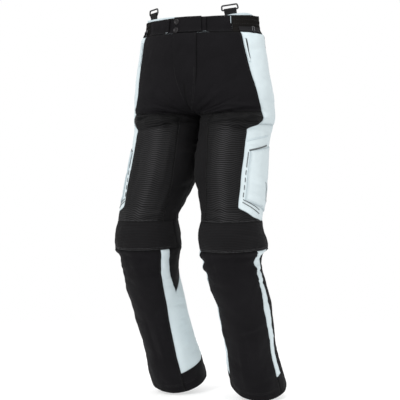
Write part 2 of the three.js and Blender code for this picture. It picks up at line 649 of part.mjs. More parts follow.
// Snap buttons on the tab: a turned cap, radius and height.
const SNAP_CAP = [
  { r: 0, h: 0 },
  { r: SNAP_RADIUS, h: 0 },
  { r: SNAP_RADIUS, h: 1.2 },
  { r: SNAP_RADIUS - 1.4, h: 2.4 },
  { r: SNAP_RADIUS - 3, h: 2 },
  { r: 0, h: 2.6 },
];
const SNAPS = [
  { name: "snap_upper", s: -20, t: 0.056, off: -0.1 },
  { name: "snap_lower", s: -44, t: 0.057, off: 1 },
];
for (const snap of SNAPS) {
  const geometry = new THREE.LatheGeometry(SNAP_CAP.map(({ r, h }) => new THREE.Vector2(r, h)), 24);
  geometry.rotateX(Math.PI / 2);
  geometry.applyMatrix4(frameAt(-1, snap.s, snap.t, TAB_LIFT + snap.off, false));
  add(snap.name, "snap_metal", geometry);
}

// Brace loops: webbing sewn inside the facing, round the lower bar of a ring.
function braceLoop(side, t, lean) {
  const end = side < 0 ? "_r" : "_l";
  const frame = frameAt(side, 0, t, LOOP_LIFT).multiply(new THREE.Matrix4().makeRotationZ(lean));
  const gap = RING_WIRE + BAR_PLAY;
  const turn = spread(0, Math.PI, 8);
  const outer = turn.map((a) => [(gap + WEB) * Math.cos(a), BAR_Z + (gap + WEB) * Math.sin(a)]);
  const inner = turn.map((a) => [gap * Math.cos(a), BAR_Z + gap * Math.sin(a)]).reverse();
  const closeAt = BAR_Z - THROAT;
  const profile = [
    ...outer,
    [-WEB, closeAt],
    [-WEB, LOOP_FOOT],
    [WEB, LOOP_FOOT],
    [WEB, closeAt],
  ];
  const shape = new THREE.Shape(profile.map(([x, y]) => new THREE.Vector2(x, y)));
  shape.holes.push(new THREE.Path([...inner, [0, closeAt + 3]].map(([x, y]) => new THREE.Vector2(x, y))));
  const strap = new THREE.ExtrudeGeometry(shape,
    { depth: LOOP_WIDTH, bevelEnabled: false, curveSegments: 1 });
  strap.translate(0, 0, -LOOP_WIDTH / 2);
  strap.rotateY(-Math.PI / 2);
  strap.applyMatrix4(frame);
  add("brace_loop" + end, "webbing_dark", strap);

  // Each side of the ring runs from, to, and rounds the corner after it.
  const w = RING_WIDTH / 2 - RING_WIRE;
  const top = w - RING_TAPER;
  const h = RING_HEIGHT - 2 * RING_WIRE;
  const path = new THREE.CurvePath();
  const outline = [
    [[-w + RING_CORNER, 0], [w - RING_CORNER, 0], [w, 0]],
    [[w, RING_CORNER], [top, h - RING_CORNER], [top, h]],
    [[top - RING_CORNER, h], [-top + RING_CORNER, h], [-top, h]],
    [[-top, h - RING_CORNER], [-w, RING_CORNER], [-w, 0]],
  ];
  outline.forEach(([from, to, corner], i) => {
    const next = outline[(i + 1) % 4][0];
    const p = (q) => new THREE.Vector3(q[0], q[1], 0);
    path.add(new THREE.LineCurve3(p(from), p(to)));
    path.add(new THREE.QuadraticBezierCurve3(p(to), p(corner), p(next)));
  });
  const wire = new THREE.TubeGeometry(path, 40, RING_WIRE, 6, true);
  wire.translate(0, BAR_Z, 0);
  wire.applyMatrix4(frame);
  add("brace_ring" + end, "ring_metal", wire);
}

braceLoop(-1, 0.27, 0.05);
braceLoop(1, 0.255, 0.17);

export default group;
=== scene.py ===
"""Motorcycle trousers, worn by no one: cloth, seams, stitching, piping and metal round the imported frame."""
import math

import bpy
import numpy as np
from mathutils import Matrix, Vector


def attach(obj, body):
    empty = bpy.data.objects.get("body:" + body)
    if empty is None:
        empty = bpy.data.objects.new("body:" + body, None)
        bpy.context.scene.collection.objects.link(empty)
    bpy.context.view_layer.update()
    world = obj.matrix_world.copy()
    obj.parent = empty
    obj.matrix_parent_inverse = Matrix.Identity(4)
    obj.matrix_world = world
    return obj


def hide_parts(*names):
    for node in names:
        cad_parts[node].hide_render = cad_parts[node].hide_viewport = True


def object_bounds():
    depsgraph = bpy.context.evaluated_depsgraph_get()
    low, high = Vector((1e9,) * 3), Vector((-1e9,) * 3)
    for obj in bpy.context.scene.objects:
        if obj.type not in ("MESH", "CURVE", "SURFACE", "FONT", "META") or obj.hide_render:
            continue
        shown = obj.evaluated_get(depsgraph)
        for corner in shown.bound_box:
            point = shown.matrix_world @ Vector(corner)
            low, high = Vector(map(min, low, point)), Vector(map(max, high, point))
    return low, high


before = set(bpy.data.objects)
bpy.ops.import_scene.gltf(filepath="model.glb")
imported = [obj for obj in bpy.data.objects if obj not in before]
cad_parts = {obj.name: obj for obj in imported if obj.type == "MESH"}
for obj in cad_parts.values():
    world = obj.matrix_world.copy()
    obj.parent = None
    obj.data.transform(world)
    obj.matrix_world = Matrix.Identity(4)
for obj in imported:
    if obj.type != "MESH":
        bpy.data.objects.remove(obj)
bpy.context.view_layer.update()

# A place on the cloth is (side, s, t): side 1 is the wearer's left half and -1 the right, s is the
# drop below the waist in mm, and t runs round that half from the centre front (or the inseam) at 0
# over the side at 0.5 to the centre back (or the inseam again) at 1. Lengths are in mm until a mesh
# is made.
MM = 0.001
BODY_NAME = "garment"
RIGHT, LEFT = -1, 1

BAND_BOTTOM = -51
YOKE_BOTTOM = -268
HIP_SIDE_BOTTOM = -302
KNEE_TOP = -564
KNEE_BOTTOM = -640
WEDGE_BOTTOM = -764
GUSSET_BOTTOM = -985
HEM = -1031
BACK_RISE = 12
BACK_RISE_FADE = 220
WEDGE_RISE = 56
WEDGE_TIP = 0.028
SPLIT_FROM = -120
SPLIT_TO = -300
FORK = -290
STRIPE_REAR = 0.512
GUSSET_REAR = 0.88
KNEE_IN = 0.02
KNEE_OUT = 0.55
POCKET_TOP = -376
POCKET_BOTTOM = -508
POCKET_RISE = 15
POCKET_FALL = 32
POCKET_FRONT, POCKET_REAR = 0.12, 0.76

CLOTH = 2.0
SEAM_HALF = 0.17
MIDDLE_LAP = 0.0004
SEAM_SINK = 0.9
SEAM_SINK_REACH = 1.7
PUCKER = 0.4
PUCKER_REACH = 7.0
# reach of the darkening along seams, which is soil with painted shade
SOIL_AND_SHADE_REACH = 2.5
RIB_PITCH, RIB_HEIGHT = 5.6, 0.55
KNEE_RIB_PITCH, KNEE_RIB_HEIGHT = 3.9, 0.5
STEP = 3.7


def columns(names, rows):
    """A table of numbers, read by column name."""
    return dict(zip(names.split(), np.array(rows, float).T))


BODY = columns("s half front back mid", [
    (0, 166, 98, 110, 24), (-25, 168, 99, 112, 23), (-43, 171, 101, 115, 24), (-58, 182, 106, 122, 24),
    (-90, 187, 109, 127, 22), (-150, 196, 114, 137, 22), (-210, 205, 120, 143, 26),
    (-250, 208, 124, 140, 30), (-300, 208, 124, 134, 32),
])
LEG = columns("s x y half front back lean tilt_r tilt_l", [
    (-180, 105, 40, 102, 114, 116, 0, 0, 0), (-280, 104, 38, 101, 112, 112, 0, 0, 0),
    (-320, 102, 26, 99, 110, 108, 0, 0, 0), (-360, 101, 12, 98, 109, 104, 0, 0, 0),
    (-400, 102, -1, 99, 109, 103, 0, 0, 0), (-440, 105, -13, 99, 108, 101, 0, 0, 0),
    (-480, 113, -24, 94, 104, 97, 0, 0, 0), (-520, 121, -39, 87, 98, 91, 0.01, 0, 0),
    (-556, 127, -55, 82, 94, 87, 0.03, 0, 0), (-590, 127, -58, 87, 102, 89, 0.04, 0, 0),
    (-618, 129, -52, 92, 106, 91, 0.06, 0, 0), (-641, 130, -45, 92, 104, 88, 0.08, 0, 0),
    (-655, 125, -49, 85, 95, 83, 0.1, 0, 0), (-700, 127, -41, 77, 88, 80, 0.18, 0, -0.02),
    (-740, 131, -20, 75, 85, 80, 0.24, 0, -0.04), (-800, 133, 17, 74, 83, 79, 0.29, 0, -0.07),
    (-860, 131, 47, 72, 81, 77, 0.33, -0.01, -0.11), (-920, 127, 76, 71, 80, 76, 0.37, -0.03, -0.15),
    (-980, 126, 108, 76, 84, 80, 0.4, -0.04, -0.2), (-1031, 126, 138, 80, 88, 83, 0.4, 0.12, -0.26),
])
DROP = columns("s drop", [(-120, 0), (-205, -36), (-305, 8), (-420, 0)])

# Upright seams: t at each drop, on the right and on the left half.
MESH_IN = columns("s r l", [
    (-51, 0.13, 0.15), (-300, 0.133, 0.185), (-420, 0.13, 0.205), (-480, 0.117, 0.195), (-564, 0.08, 0.15),
])
SIDE_FRONT = columns("s r l", [
    (-51, 0.305, 0.3), (-110, 0.308, 0.32), (-160, 0.308, 0.342), (-200, 0.315, 0.368),
    (-240, 0.35, 0.4), (-268, 0.4, 0.426), (-290, 0.4, 0.43), (-302, 0.375, 0.42), (-316, 0.35, 0.372),
    (-380, 0.352, 0.374), (-460, 0.352, 0.362), (-524, 0.345, 0.351), (-540, 0.385, 0.404),
    (-552, 0.43, 0.447), (-564, 0.5, 0.52),
])
SIDE_REAR = columns("s r l", [(-51, 0.58, 0.58), (-268, 0.6, 0.6), (-564, 0.61, 0.61)])
WEDGE_FRONT = columns("s r l", [
    (-640, 0.066, 0.066), (-720, 0.045, 0.045), (-764, 0.028, 0.028), (-985, 0.02, 0.02),
])
GUSSET_FRONT = columns("s r l", [
    (-640, 0.113, 0.113), (-735, 0.105, 0.105), (-834, 0.12, 0.12), (-985, 0.136, 0.136),
    (-1031, 0.136, 0.136),
])
STRIPE_FRONT = columns("s r l", [
    (-640, 0.44, 0.436), (-680, 0.455, 0.458), (-738, 0.465, 0.47), (-800, 0.455, 0.452),
    (-900, 0.465, 0.47), (-1031, 0.465, 0.465),
])
FLY = columns("s r l", [
    (-52, 0.068, 0.058), (-91, 0.066, 0.058), (-150, 0.049, 0.06), (-183, 0.025, 0.055),
    (-212, 0.008, 0.037), (-226, 0.004, 0.022),
])
# How far the outer waistband and the pale facing stand over z = 0 round the waist.
RIM = columns("t band_r band_l facing_r facing_l", [
    (0, -8, -8, -9, -9), (0.07, -8.5, -8, -5, -9), (0.2, -10, -6, -4, -7), (0.27, -10, -5, -4, -1),
    (0.36, -10, -4, -3, 3), (0.42, -8, -3, 0, 1), (0.48, -5, -3, 1, -3), (0.6, 0, 0, 0, 0),
    (1, 0, 0, -1, -1),
])

# Folds of the solids: a soft ridge (height over 0) or trough at (s, t), its reach in t, its width in
# s and the slant of its line in mm of drop for each unit of t. Side 0 is on both legs.
MAIN_FOLDS = [
    (-1, -264, 0.22, 0.17, 8, -5, -30), (-1, -286, 0.2, 0.16, 12, 8, -30),
    (-1, -306, 0.18, 0.13, 8, -5, -60), (1, -266, 0.27, 0.16, 9, -6, 30),
    (1, -289, 0.33, 0.13, 14, 11, 20), (1, -316, 0.33, 0.12, 8, -5, 40),
    (-1, -222, 0.12, 0.06, 9, -3, 260), (1, -226, 0.12, 0.05, 8, -3, 330),
    (-1, -245, 0.14, 0.06, 7, 3, 170), (1, -248, 0.15, 0.07, 7, 2.5, 190),
    (-1, -430, 0.24, 0.025, 110, 2.5, 0), (1, -420, 0.29, 0.03, 90, 2, 0),
    (0, -338, 0.84, 0.1, 12, -4, 70), (-1, -236, 0.83, 0.08, 11, -4, -90),
    (1, -228, 0.8, 0.1, 12, -4, -60), (-1, -540, 0.8, 0.1, 12, -4, 20),
    (1, -533, 0.76, 0.12, 11, -4, -30), (-1, -588, 0.78, 0.12, 12, 4, -20),
    (1, -582, 0.8, 0.11, 13, 4, 30), (0, -616, 0.78, 0.13, 10, -5, 0), (-1, -676, 0.74, 0.1, 12, -4, 40),
    (1, -684, 0.7, 0.1, 13, -4, -40), (-1, -690, 0.4, 0.08, 10, -2.5, 90),
    (1, -672, 0.46, 0.07, 9, -3, -120), (1, -706, 0.47, 0.06, 9, 3, -90),
    (-1, -800, 0.62, 0.12, 16, -2.5, 80), (1, -830, 0.66, 0.1, 15, -2.5, -70),
    (-1, -925, 0.3, 0.1, 16, -2, 60), (1, -940, 0.27, 0.12, 14, -2, -50),
]
# Smaller creases, in the same columns.
CREASES = [
    # front of the hips: whiskers that run out from the crotch
    (-1, -196, 0.085, 0.05, 4.5, -1.6, 420), (-1, -208, 0.1, 0.055, 3.6, 1.3, 380),
    (-1, -232, 0.13, 0.07, 4.2, -1.8, 150), (-1, -252, 0.17, 0.09, 3.8, 1.6, 60),
    (-1, -240, 0.2, 0.06, 5, 1.4, -90), (-1, -172, 0.16, 0.05, 6, -0.8, 200),
    (-1, -130, 0.2, 0.07, 9, -0.7, 90), (1, -201, 0.09, 0.05, 4.4, -1.7, 460),
    (1, -214, 0.11, 0.06, 3.6, 1.4, 400), (1, -236, 0.17, 0.08, 4.2, -2, 200),
    (1, -258, 0.24, 0.1, 4, 1.9, 60), (1, -246, 0.3, 0.07, 5, 1.7, -110),
    (1, -176, 0.2, 0.06, 7, -0.8, 240), (1, -120, 0.17, 0.06, 8, -0.6, 120),
    # roll under the yoke
    (-1, -275, 0.31, 0.06, 4.5, 2.2, -70), (-1, -296, 0.25, 0.1, 3.6, 1.6, -20),
    (-1, -298, 0.12, 0.05, 4, -1.8, 90), (1, -278, 0.38, 0.06, 4.5, 2.6, -90),
    (1, -276, 0.23, 0.06, 4, 2.4, 120), (1, -300, 0.28, 0.07, 3.8, -2, 30),
    (1, -306, 0.39, 0.04, 4.5, 2.2, -60), (1, -292, 0.19, 0.05, 4, 1.8, 150),
    (-1, -270, 0.2, 0.035, 3, -2.2, 180), (-1, -283, 0.3, 0.05, 3, -2, -140),
    (-1, -301, 0.17, 0.05, 3.4, 1.8, 130), (-1, -309, 0.24, 0.06, 3.4, -2.2, -90),
    (-1, -290, 0.06, 0.04, 3, 1.6, 220), (-1, -268, 0.34, 0.03, 3, 2, -200),
    (1, -270, 0.3, 0.05, 3, -2.4, -170), (1, -283, 0.25, 0.05, 3, -2, 150),
    (1, -296, 0.36, 0.05, 3.2, -2.4, 60), (1, -311, 0.31, 0.07, 3.6, -2.4, -40),
    (1, -303, 0.2, 0.05, 3.2, 1.8, 160), (1, -288, 0.4, 0.03, 3, 2.2, -160),
    (1, -318, 0.24, 0.05, 3.6, 1.6, 110), (-1, -320, 0.19, 0.05, 3.6, 1.5, 100),
    # front of the thighs: long ridges that run down
    (-1, -450, 0.212, 0.011, 95, 2, 0), (-1, -400, 0.165, 0.012, 70, 1.7, 0),
    (-1, -500, 0.12, 0.014, 55, 1.4, 0), (-1, -430, 0.3, 0.016, 80, -1.3, 0),
    (-1, -385, 0.255, 0.01, 45, -1.2, 0), (1, -450, 0.268, 0.011, 85, 1.9, 0),
    (1, -380, 0.235, 0.011, 60, 1.5, 0), (1, -470, 0.32, 0.015, 70, -1.2, 0),
    (1, -410, 0.2, 0.013, 60, -1.1, 0), (1, -505, 0.225, 0.012, 45, 1.1, 0),
    (-1, -530, 0.2, 0.08, 4.5, -1.4, 60), (-1, -546, 0.15, 0.07, 4, 1.4, -50),
    (1, -536, 0.26, 0.09, 4.5, -1.5, -50), (1, -550, 0.22, 0.08, 4, 1.3, 60),
    (1, -522, 0.31, 0.06, 5, 1.1, 80),
    # inside of the thighs
    (-1, -352, 0.05, 0.06, 6, -2, 160), (-1, -384, 0.06, 0.06, 7, 1.5, 130),
    (-1, -470, 0.03, 0.06, 8, -1.6, -120), (1, -350, 0.07, 0.07, 6, -2, 190),
    (1, -390, 0.06, 0.07, 7, 1.6, 150), (1, -476, 0.05, 0.07, 8, -1.6, -130),
    # pale side panels
    (1, -96, 0.42, 0.05, 7, -0.8, 60), (1, -180, 0.47, 0.07, 8, -1, -90),
    (1, -240, 0.5, 0.07, 7, -1.4, -60), (1, -262, 0.48, 0.06, 5, 1.3, -110),
    (1, -322, 0.5, 0.06, 5, -1.3, -40), (1, -356, 0.41, 0.05, 4, 0.9, 60),
    (1, -452, 0.5, 0.06, 6, -1.3, -170), (1, -470, 0.47, 0.06, 5, 1.2, -200),
    (1, -496, 0.45, 0.06, 6, -1.2, -130), (1, -520, 0.5, 0.05, 5, 1, 70),
    (-1, -110, 0.44, 0.05, 7, -0.8, 60), (-1, -200, 0.46, 0.06, 8, -1.2, -80),
    (-1, -250, 0.5, 0.06, 6, -1.3, -60), (-1, -330, 0.49, 0.06, 5, -1.3, -50),
    (-1, -440, 0.46, 0.06, 6, -1.4, -150), (-1, -466, 0.5, 0.06, 5, 1.3, -180),
    (-1, -490, 0.44, 0.06, 5, -1.3, 120), (-1, -515, 0.48, 0.05, 5, 1.1, 60),
    # knees
    (-1, -578, 0.24, 0.1, 4, -1, 30), (-1, -604, 0.3, 0.09, 6, -1.3, -60),
    (-1, -622, 0.2, 0.1, 5, 1.2, 50), (-1, -634, 0.12, 0.08, 4, -1.5, 80),
    (1, -596, 0.4, 0.08, 6, -1.2, -90), (1, -626, 0.3, 0.12, 5, 1, 10),
    (0, -574, 0.72, 0.08, 5, -1.8, 60), (0, -601, 0.84, 0.08, 5, 1.8, -50),
    (0, -630, 0.7, 0.1, 5, -1.8, 40),
    # shins
    (-1, -661, 0.2, 0.12, 5, -1.8, 60), (-1, -676, 0.26, 0.09, 5, 1.2, -50),
    (-1, -716, 0.34, 0.07, 7, -1.3, 130), (1, -656, 0.3, 0.13, 4.5, -1.7, -20),
    (1, -671, 0.2, 0.1, 5, 1.3, 70), (1, -690, 0.16, 0.05, 6, -1.5, 130),
    (1, -722, 0.2, 0.07, 8, -1, -90), (1, -853, 0.33, 0.07, 7, -1.5, 60),
    (1, -838, 0.34, 0.07, 6, 1.2, 70), (1, -905, 0.3, 0.016, 55, -1.8, 0),
    (1, -930, 0.26, 0.014, 60, 1.5, 0), (1, -900, 0.37, 0.018, 45, 1.1, 0),
    (-1, -872, 0.26, 0.014, 60, -1.4, 0), (-1, -890, 0.215, 0.014, 60, 1.5, 0),
    (-1, -820, 0.34, 0.05, 9, -1.1, 120), (-1, -960, 0.34, 0.05, 9, 1.2, -110),
    (1, -985, 0.38, 0.06, 8, -1.2, 80),
    # edges of the shins
    (1, -652, 0.1, 0.07, 8, 2.2, 60), (1, -667, 0.11, 0.06, 6, -2.6, 80),
    (1, -683, 0.12, 0.06, 7, 2.4, 60), (1, -704, 0.11, 0.06, 9, -1.8, 50),
    (1, -742, 0.13, 0.06, 12, 1.4, -60), (1, -792, 0.12, 0.05, 14, -1.3, 80),
    (1, -862, 0.13, 0.05, 14, 1.5, 60), (1, -912, 0.12, 0.05, 14, -1.4, -60),
    (-1, -650, 0.44, 0.07, 7, 2.2, -60), (-1, -668, 0.45, 0.06, 6, -2.4, -70),
    (-1, -689, 0.44, 0.06, 7, 2.2, -50), (-1, -712, 0.45, 0.06, 9, -1.9, 60),
    (-1, -748, 0.44, 0.06, 12, 1.6, 60), (-1, -786, 0.45, 0.06, 12, -1.5, -60),
    (-1, -838, 0.44, 0.06, 13, 1.4, -70), (-1, -886, 0.45, 0.06, 14, -1.4, 60),
    (-1, -700, 0.13, 0.05, 9, -1.6, 90), (-1, -664, 0.15, 0.06, 6, 1.8, -60),
    (1, -664, 0.4, 0.06, 6, 1.8, 60), (1, -760, 0.36, 0.05, 14, -1.2, 60),
    (-1, -920, 0.42, 0.05, 14, 1.3, 90),
    # outer stripe: crumpled where it starts
    (1, -652, 0.47, 0.03, 4, 2.6, 120), (1, -664, 0.485, 0.03, 4, -2.6, -120),
    (1, -684, 0.475, 0.03, 4.5, 2.4, 160), (1, -699, 0.49, 0.03, 4, -2.6, 90),
    (1, -716, 0.48, 0.03, 5, 2.2, -140), (1, -733, 0.49, 0.03, 4.5, -2, 100),
    (1, -752, 0.485, 0.03, 5, 1.5, 110), (1, -780, 0.49, 0.03, 6, -1.3, -120),
    (1, -812, 0.485, 0.03, 6, 1.1, 120), (1, -846, 0.49, 0.03, 6, -1.1, -110),
    (1, -880, 0.49, 0.03, 7, 1, 100), (-1, -655, 0.475, 0.03, 4, 2.2, -110),
    (-1, -672, 0.485, 0.03, 4, -2.2, 120), (-1, -694, 0.48, 0.03, 5, 2, 130),
    (-1, -716, 0.49, 0.03, 5, -1.8, -90), (-1, -760, 0.485, 0.03, 6, 1.3, 110),
    (-1, -806, 0.49, 0.03, 6, -1.2, -100),
    # pale inner panel of the lower leg: short level wrinkles at its rear
    (0, -720, 0.07, 0.03, 4, 1.1, 150), (0, -742, 0.05, 0.04, 4, -1.2, 120),
    (0, -786, 0.0, 0.04, 4, 1.4, 170), (0, -803, 0.02, 0.04, 3.6, -1.4, 140),
    (0, -822, -0.02, 0.04, 4.2, 1.4, 160), (0, -845, 0.01, 0.045, 4, -1.3, 130),
    (0, -866, 0.03, 0.04, 5, 1.1, 90), (0, -893, -0.02, 0.045, 5, -1.2, 150),
    (0, -920, 0.04, 0.04, 6, 1, 110), (0, -948, 0, 0.05, 6, -1, 90), (0, -972, 0.05, 0.04, 5, 0.9, 60),
    # seat, back of the thighs and calves
    (-1, -210, 0.9, 0.06, 6, -1.9, -200), (-1, -252, 0.86, 0.08, 5, 1.8, -150),
    (-1, -262, 0.72, 0.07, 6, -1.4, 90), (1, -206, 0.9, 0.06, 6, -1.8, -230),
    (1, -250, 0.84, 0.08, 5, 1.9, -130), (1, -260, 0.7, 0.08, 6, -1.5, 60),
    (-1, -120, 0.8, 0.1, 10, -0.8, 60), (1, -130, 0.78, 0.1, 11, -0.8, -50),
    (-1, -292, 0.86, 0.09, 6, 2.2, 90), (1, -296, 0.88, 0.09, 6, 2.2, 100),
    (-1, -316, 0.78, 0.09, 6, -1.8, 110), (1, -312, 0.76, 0.1, 6, -1.8, 90),
    (-1, -420, 0.76, 0.016, 80, 1.4, 0), (1, -430, 0.8, 0.016, 80, 1.4, 0),
    (-1, -500, 0.84, 0.1, 7, -2, -60), (-1, -520, 0.76, 0.1, 6, 1.8, 50),
    (-1, -556, 0.82, 0.1, 5, 2, -20), (1, -496, 0.8, 0.1, 7, -2, 70), (1, -516, 0.86, 0.09, 6, 1.8, -50),
    (1, -553, 0.78, 0.1, 5, 2, 20), (-1, -656, 0.8, 0.12, 5, -2.2, 20),
    (1, -658, 0.76, 0.12, 5, -2.2, -20), (-1, -694, 0.82, 0.09, 6, 1.6, -50),
    (1, -700, 0.8, 0.1, 6, 1.6, 50), (-1, -730, 0.72, 0.08, 8, -1.5, 80),
    (1, -742, 0.66, 0.08, 8, -1.4, 90), (-1, -860, 0.7, 0.1, 10, 1.1, -90),
    (1, -880, 0.74, 0.1, 10, 1.1, 80), (-1, -950, 0.66, 0.09, 9, -1.3, 70),
    (1, -960, 0.7, 0.1, 9, -1.3, -60), (0, -1006, 0.74, 0.1, 6, 1.1, 40),
    (0, -1012, 0.1, 0.09, 6, -1, -50),
]


def track(table, key, along="s"):
    """A smooth curve through a table's rows that never swings past them."""
    order = np.argsort(table[along])
    x, y = table[along][order], table[key][order]
    gap = np.diff(x)
    rise = np.diff(y) / gap
    slope = np.concatenate([rise[:1], np.zeros(len(x) - 2), rise[-1:]])
    for i in range(1, len(x) - 1):
        before, after = rise[i - 1], rise[i]
        if before * after > 0:
            near, far = gap[i - 1], gap[i]
            slope[i] = 3 * (near + far) / ((2 * far + near) / before + (far + 2 * near) / after)

    def at(value):
        v = np.clip(value, x[0], x[-1])
        i = np.clip(np.searchsorted(x, v, side="right") - 1, 0, len(x) - 2)
        h = gap[i]
        u = (v - x[i]) / h
        keep = 2 * u ** 3 - 3 * u ** 2 + 1
        lead, tail = u ** 3 - 2 * u ** 2 + u, u ** 3 - u ** 2
        return keep * y[i] + lead * h * slope[i] + (1 - keep) * y[i + 1] + tail * h * slope[i + 1]
    return at


def unit(way):
    return way / np.maximum(np.linalg.norm(way, axis=-1, keepdims=True), 1e-9)


def gone_along(line):
    """How far along a line each of its points is."""
    return np.concatenate([[0], np.cumsum(np.linalg.norm(np.diff(line, axis=0), axis=1))])


def seam_line(table):
    both = {RIGHT: track(table, "r"), LEFT: track(table, "l")}
    return lambda side, s: both[side](s)


body = {key: track(BODY, key) for key in BODY if key != "s"}
leg = {key: track(LEG, key) for key in LEG if key != "s"}
hang = track(DROP, "drop")
rim = {key: track(RIM, key, "t") for key in RIM if key != "t"}
mesh_in, side_front, side_rear = seam_line(MESH_IN), seam_line(SIDE_FRONT), seam_line(SIDE_REAR)
wedge_front, gusset_front = seam_line(WEDGE_FRONT), seam_line(GUSSET_FRONT)
stripe_smooth, fly_edge = seam_line(STRIPE_FRONT), seam_line(FLY)
ZIGZAG, ZIGZAG_PITCH, ZIGZAG_FADE = 0.011, 41, 80


def stripe_front(side, s):
    """The seam of the outer stripe, bent to and fro where the stripe is crumpled."""
    return stripe_smooth(side, s) + ZIGZAG * np.sin(2 * np.pi * s / ZIGZAG_PITCH + side) * np.exp(
        (s - KNEE_BOTTOM) / ZIGZAG_FADE)


MEET_REACH = 0.03
MEET_FADE = 12


def meeting(s, t):
    """How far the two halves are drawn together: 1 at the middle seam, down to just over the fork."""
    return np.exp(-((t - np.round(t)) / MEET_REACH) ** 2) * np.clip((s - FORK) / MEET_FADE, 0, 1)


def tube(side, s, t):
    """The plain tube of the garment, before folds."""
    side, s, t = np.broadcast_arrays(np.asarray(side, float), np.asarray(s, float), np.asarray(t, float))
    half = np.cos(np.pi * t)
    body_x = body["half"](s) * np.sin(np.pi * t)
    body_y = body["mid"](s) - np.where(half > 0, body["front"](s), body["back"](s)) * half
    c, d = np.cos(2 * np.pi * t), np.sin(2 * np.pi * t)
    ring_x = -leg["half"](s) * c
    ring_y = -np.where(d > 0, leg["front"](s), leg["back"](s)) * d
    u = np.clip((s - SPLIT_FROM) / (SPLIT_TO - SPLIT_FROM), 0, 1)
    split = u ** 4 * (5 - 4 * u)
    tilt = np.where(side < 0, leg["tilt_r"](s), leg["tilt_l"](s))
    back = np.clip((t - 0.5) * 2, 0, 1) * np.clip(1 + s / BACK_RISE_FADE, 0, 1)
    z = s + split * (leg["lean"](s) * ring_y + tilt * ring_x) + hang(s) * np.abs(half) ** 3
    z = z + BACK_RISE * back * back * (3 - 2 * back)
    apart = (leg["x"](s) - leg["half"](s)) * meeting(s, t)
    x = side * ((1 - split) * body_x + split * (leg["x"](s) + ring_x - apart))
    return np.stack([x, (1 - split) * body_y + split * (leg["y"](s) + ring_y), z], axis=-1)


def outward(side, s, t):
    """The way out of the cloth."""
    along = tube(side, s, t + 0.002) - tube(side, s, t - 0.002)
    up = tube(side, s + 1, t) - tube(side, s - 1, t)
    n = np.cross(along, up) * np.broadcast_to(side, along.shape[:-1])[..., None]
    n[..., 0] *= 1 - meeting(s, t)
    return unit(n)


def folds(table, side, s, t):
    """The height of a table's folds at a place."""
    total = np.zeros(np.broadcast(side, s, t).shape)
    for where, drop, middle, reach, width, height, slant in table:
        dt = t - middle
        if drop < FORK:
            dt = dt - np.round(dt)
        ds = s - drop - slant * dt
        fold = height * np.exp(-(dt / reach) ** 2 - (ds / width) ** 2)
        total = total + (fold if where == 0 else np.where(np.equal(side, where), fold, 0.0))
    return total


rng = np.random.default_rng(11)
CRUMPLE_WAVES = 22
wave_way = unit(rng.normal(size=(CRUMPLE_WAVES, 3)))
wave_length = rng.uniform(22, 75, CRUMPLE_WAVES)
wave_phase = rng.uniform(0, 2 * np.pi, (CRUMPLE_WAVES, 2))


def crumple(p):
    """Small unrest all over the cloth, between about -1 and 1: soft waves, and sharper crinkles between
    them."""
    soft, sharp = np.zeros(p.shape[:-1]), np.zeros(p.shape[:-1])
    for number, (way, length, (phase, warp)) in enumerate(zip(wave_way, wave_length, wave_phase)):
        q = p @ way
        bend = 1.3 * np.sin(p[..., 2] / 41 + warp) + 0.9 * np.sin(p[..., 0] / 33 - warp)
        wave = np.sin(2 * np.pi * q / length + bend + phase)
        if number % 2:
            soft += length / 75 * wave
        else:
            sharp += length / 75 * ((1 - np.abs(wave)) ** 2 - 0.3) * np.sin(q / 29 + warp)
    return soft / 2.4 + sharp / 1.3


# Where the cloth is more restless: each is a drop, its reach and how much more.
RESTLESS = [(-52, 16, 0.5), (-285, 28, 2.4), (-556, 22, 1.0), (-668, 38, 1.5), (-985, 60, 0.5)]


def restless(s):
    return 1 + sum(more * np.exp(-((s - drop) / reach) ** 2) for drop, reach, more in RESTLESS)


CREASE_DEPTH = 1.65
UNREST = 0.55


def draped(side, s, t):
    """A function that gives the cloth's outer face, moved out by lift."""
    base, way = tube(side, s, t), outward(side, s, t)
    height = folds(MAIN_FOLDS, side, s, t) + CREASE_DEPTH * folds(CREASES, side, s, t)
    height = height + UNREST * restless(s) * crumple(base)
    return lambda lift: base + way * (height + lift)[..., None]


def skin(side, s, t, lift=0.0):
    return draped(side, s, t)(lift)


def halves(q):
    """Side and t of a place counted once round the waist: 0 is the centre front, 1 the centre back."""
    q = np.mod(q, 2)
    return np.where(q <= 1, LEFT, RIGHT), np.where(q <= 1, q, 2 - q)


PANEL_EDGE, STRIP_EDGE, TRIM_EDGE = (0.0, 0.8, 1.9, 3.6), (0.0, 0.5, 1.2, 2.4), (0.0, 0.5, 1.2)


def spaced(length, step, fine=PANEL_EDGE):
    """Shares of a length, close together near both ends."""
    fine = np.array(fine)
    if length < 3 * fine[-1]:
        return np.linspace(0, 1, max(2, round(length / 1.2)) + 1)
    inner = np.linspace(fine[-1], length - fine[-1], max(1, round((length - 2 * fine[-1]) / step)) + 1)
    return np.concatenate([fine[:-1], inner, (length - fine[:-1])[::-1]]) / length


# Finishes

def plug(tree, socket, value):
    """Puts a value, or another node's output, into a socket."""
    if isinstance(value, bpy.types.NodeSocket):
        tree.links.new(value, socket)
    else:
        socket.default_value = value


def put(tree, kind, inputs=None, **settings):
    node = tree.nodes.new(kind)
    for key, value in settings.items():
        setattr(node, key, value)
    for key, value in (inputs or {}).items():
        plug(tree, node.inputs[key], value)
    return node


def calc(tree, operation, *values):
    return put(tree, "ShaderNodeMath", dict(enumerate(values)), operation=operation).outputs[0]


def blend(tree, share, low, high):
    return put(tree, "ShaderNodeMix", {0: share, 6: low, 7: high}, data_type="RGBA").outputs[2]


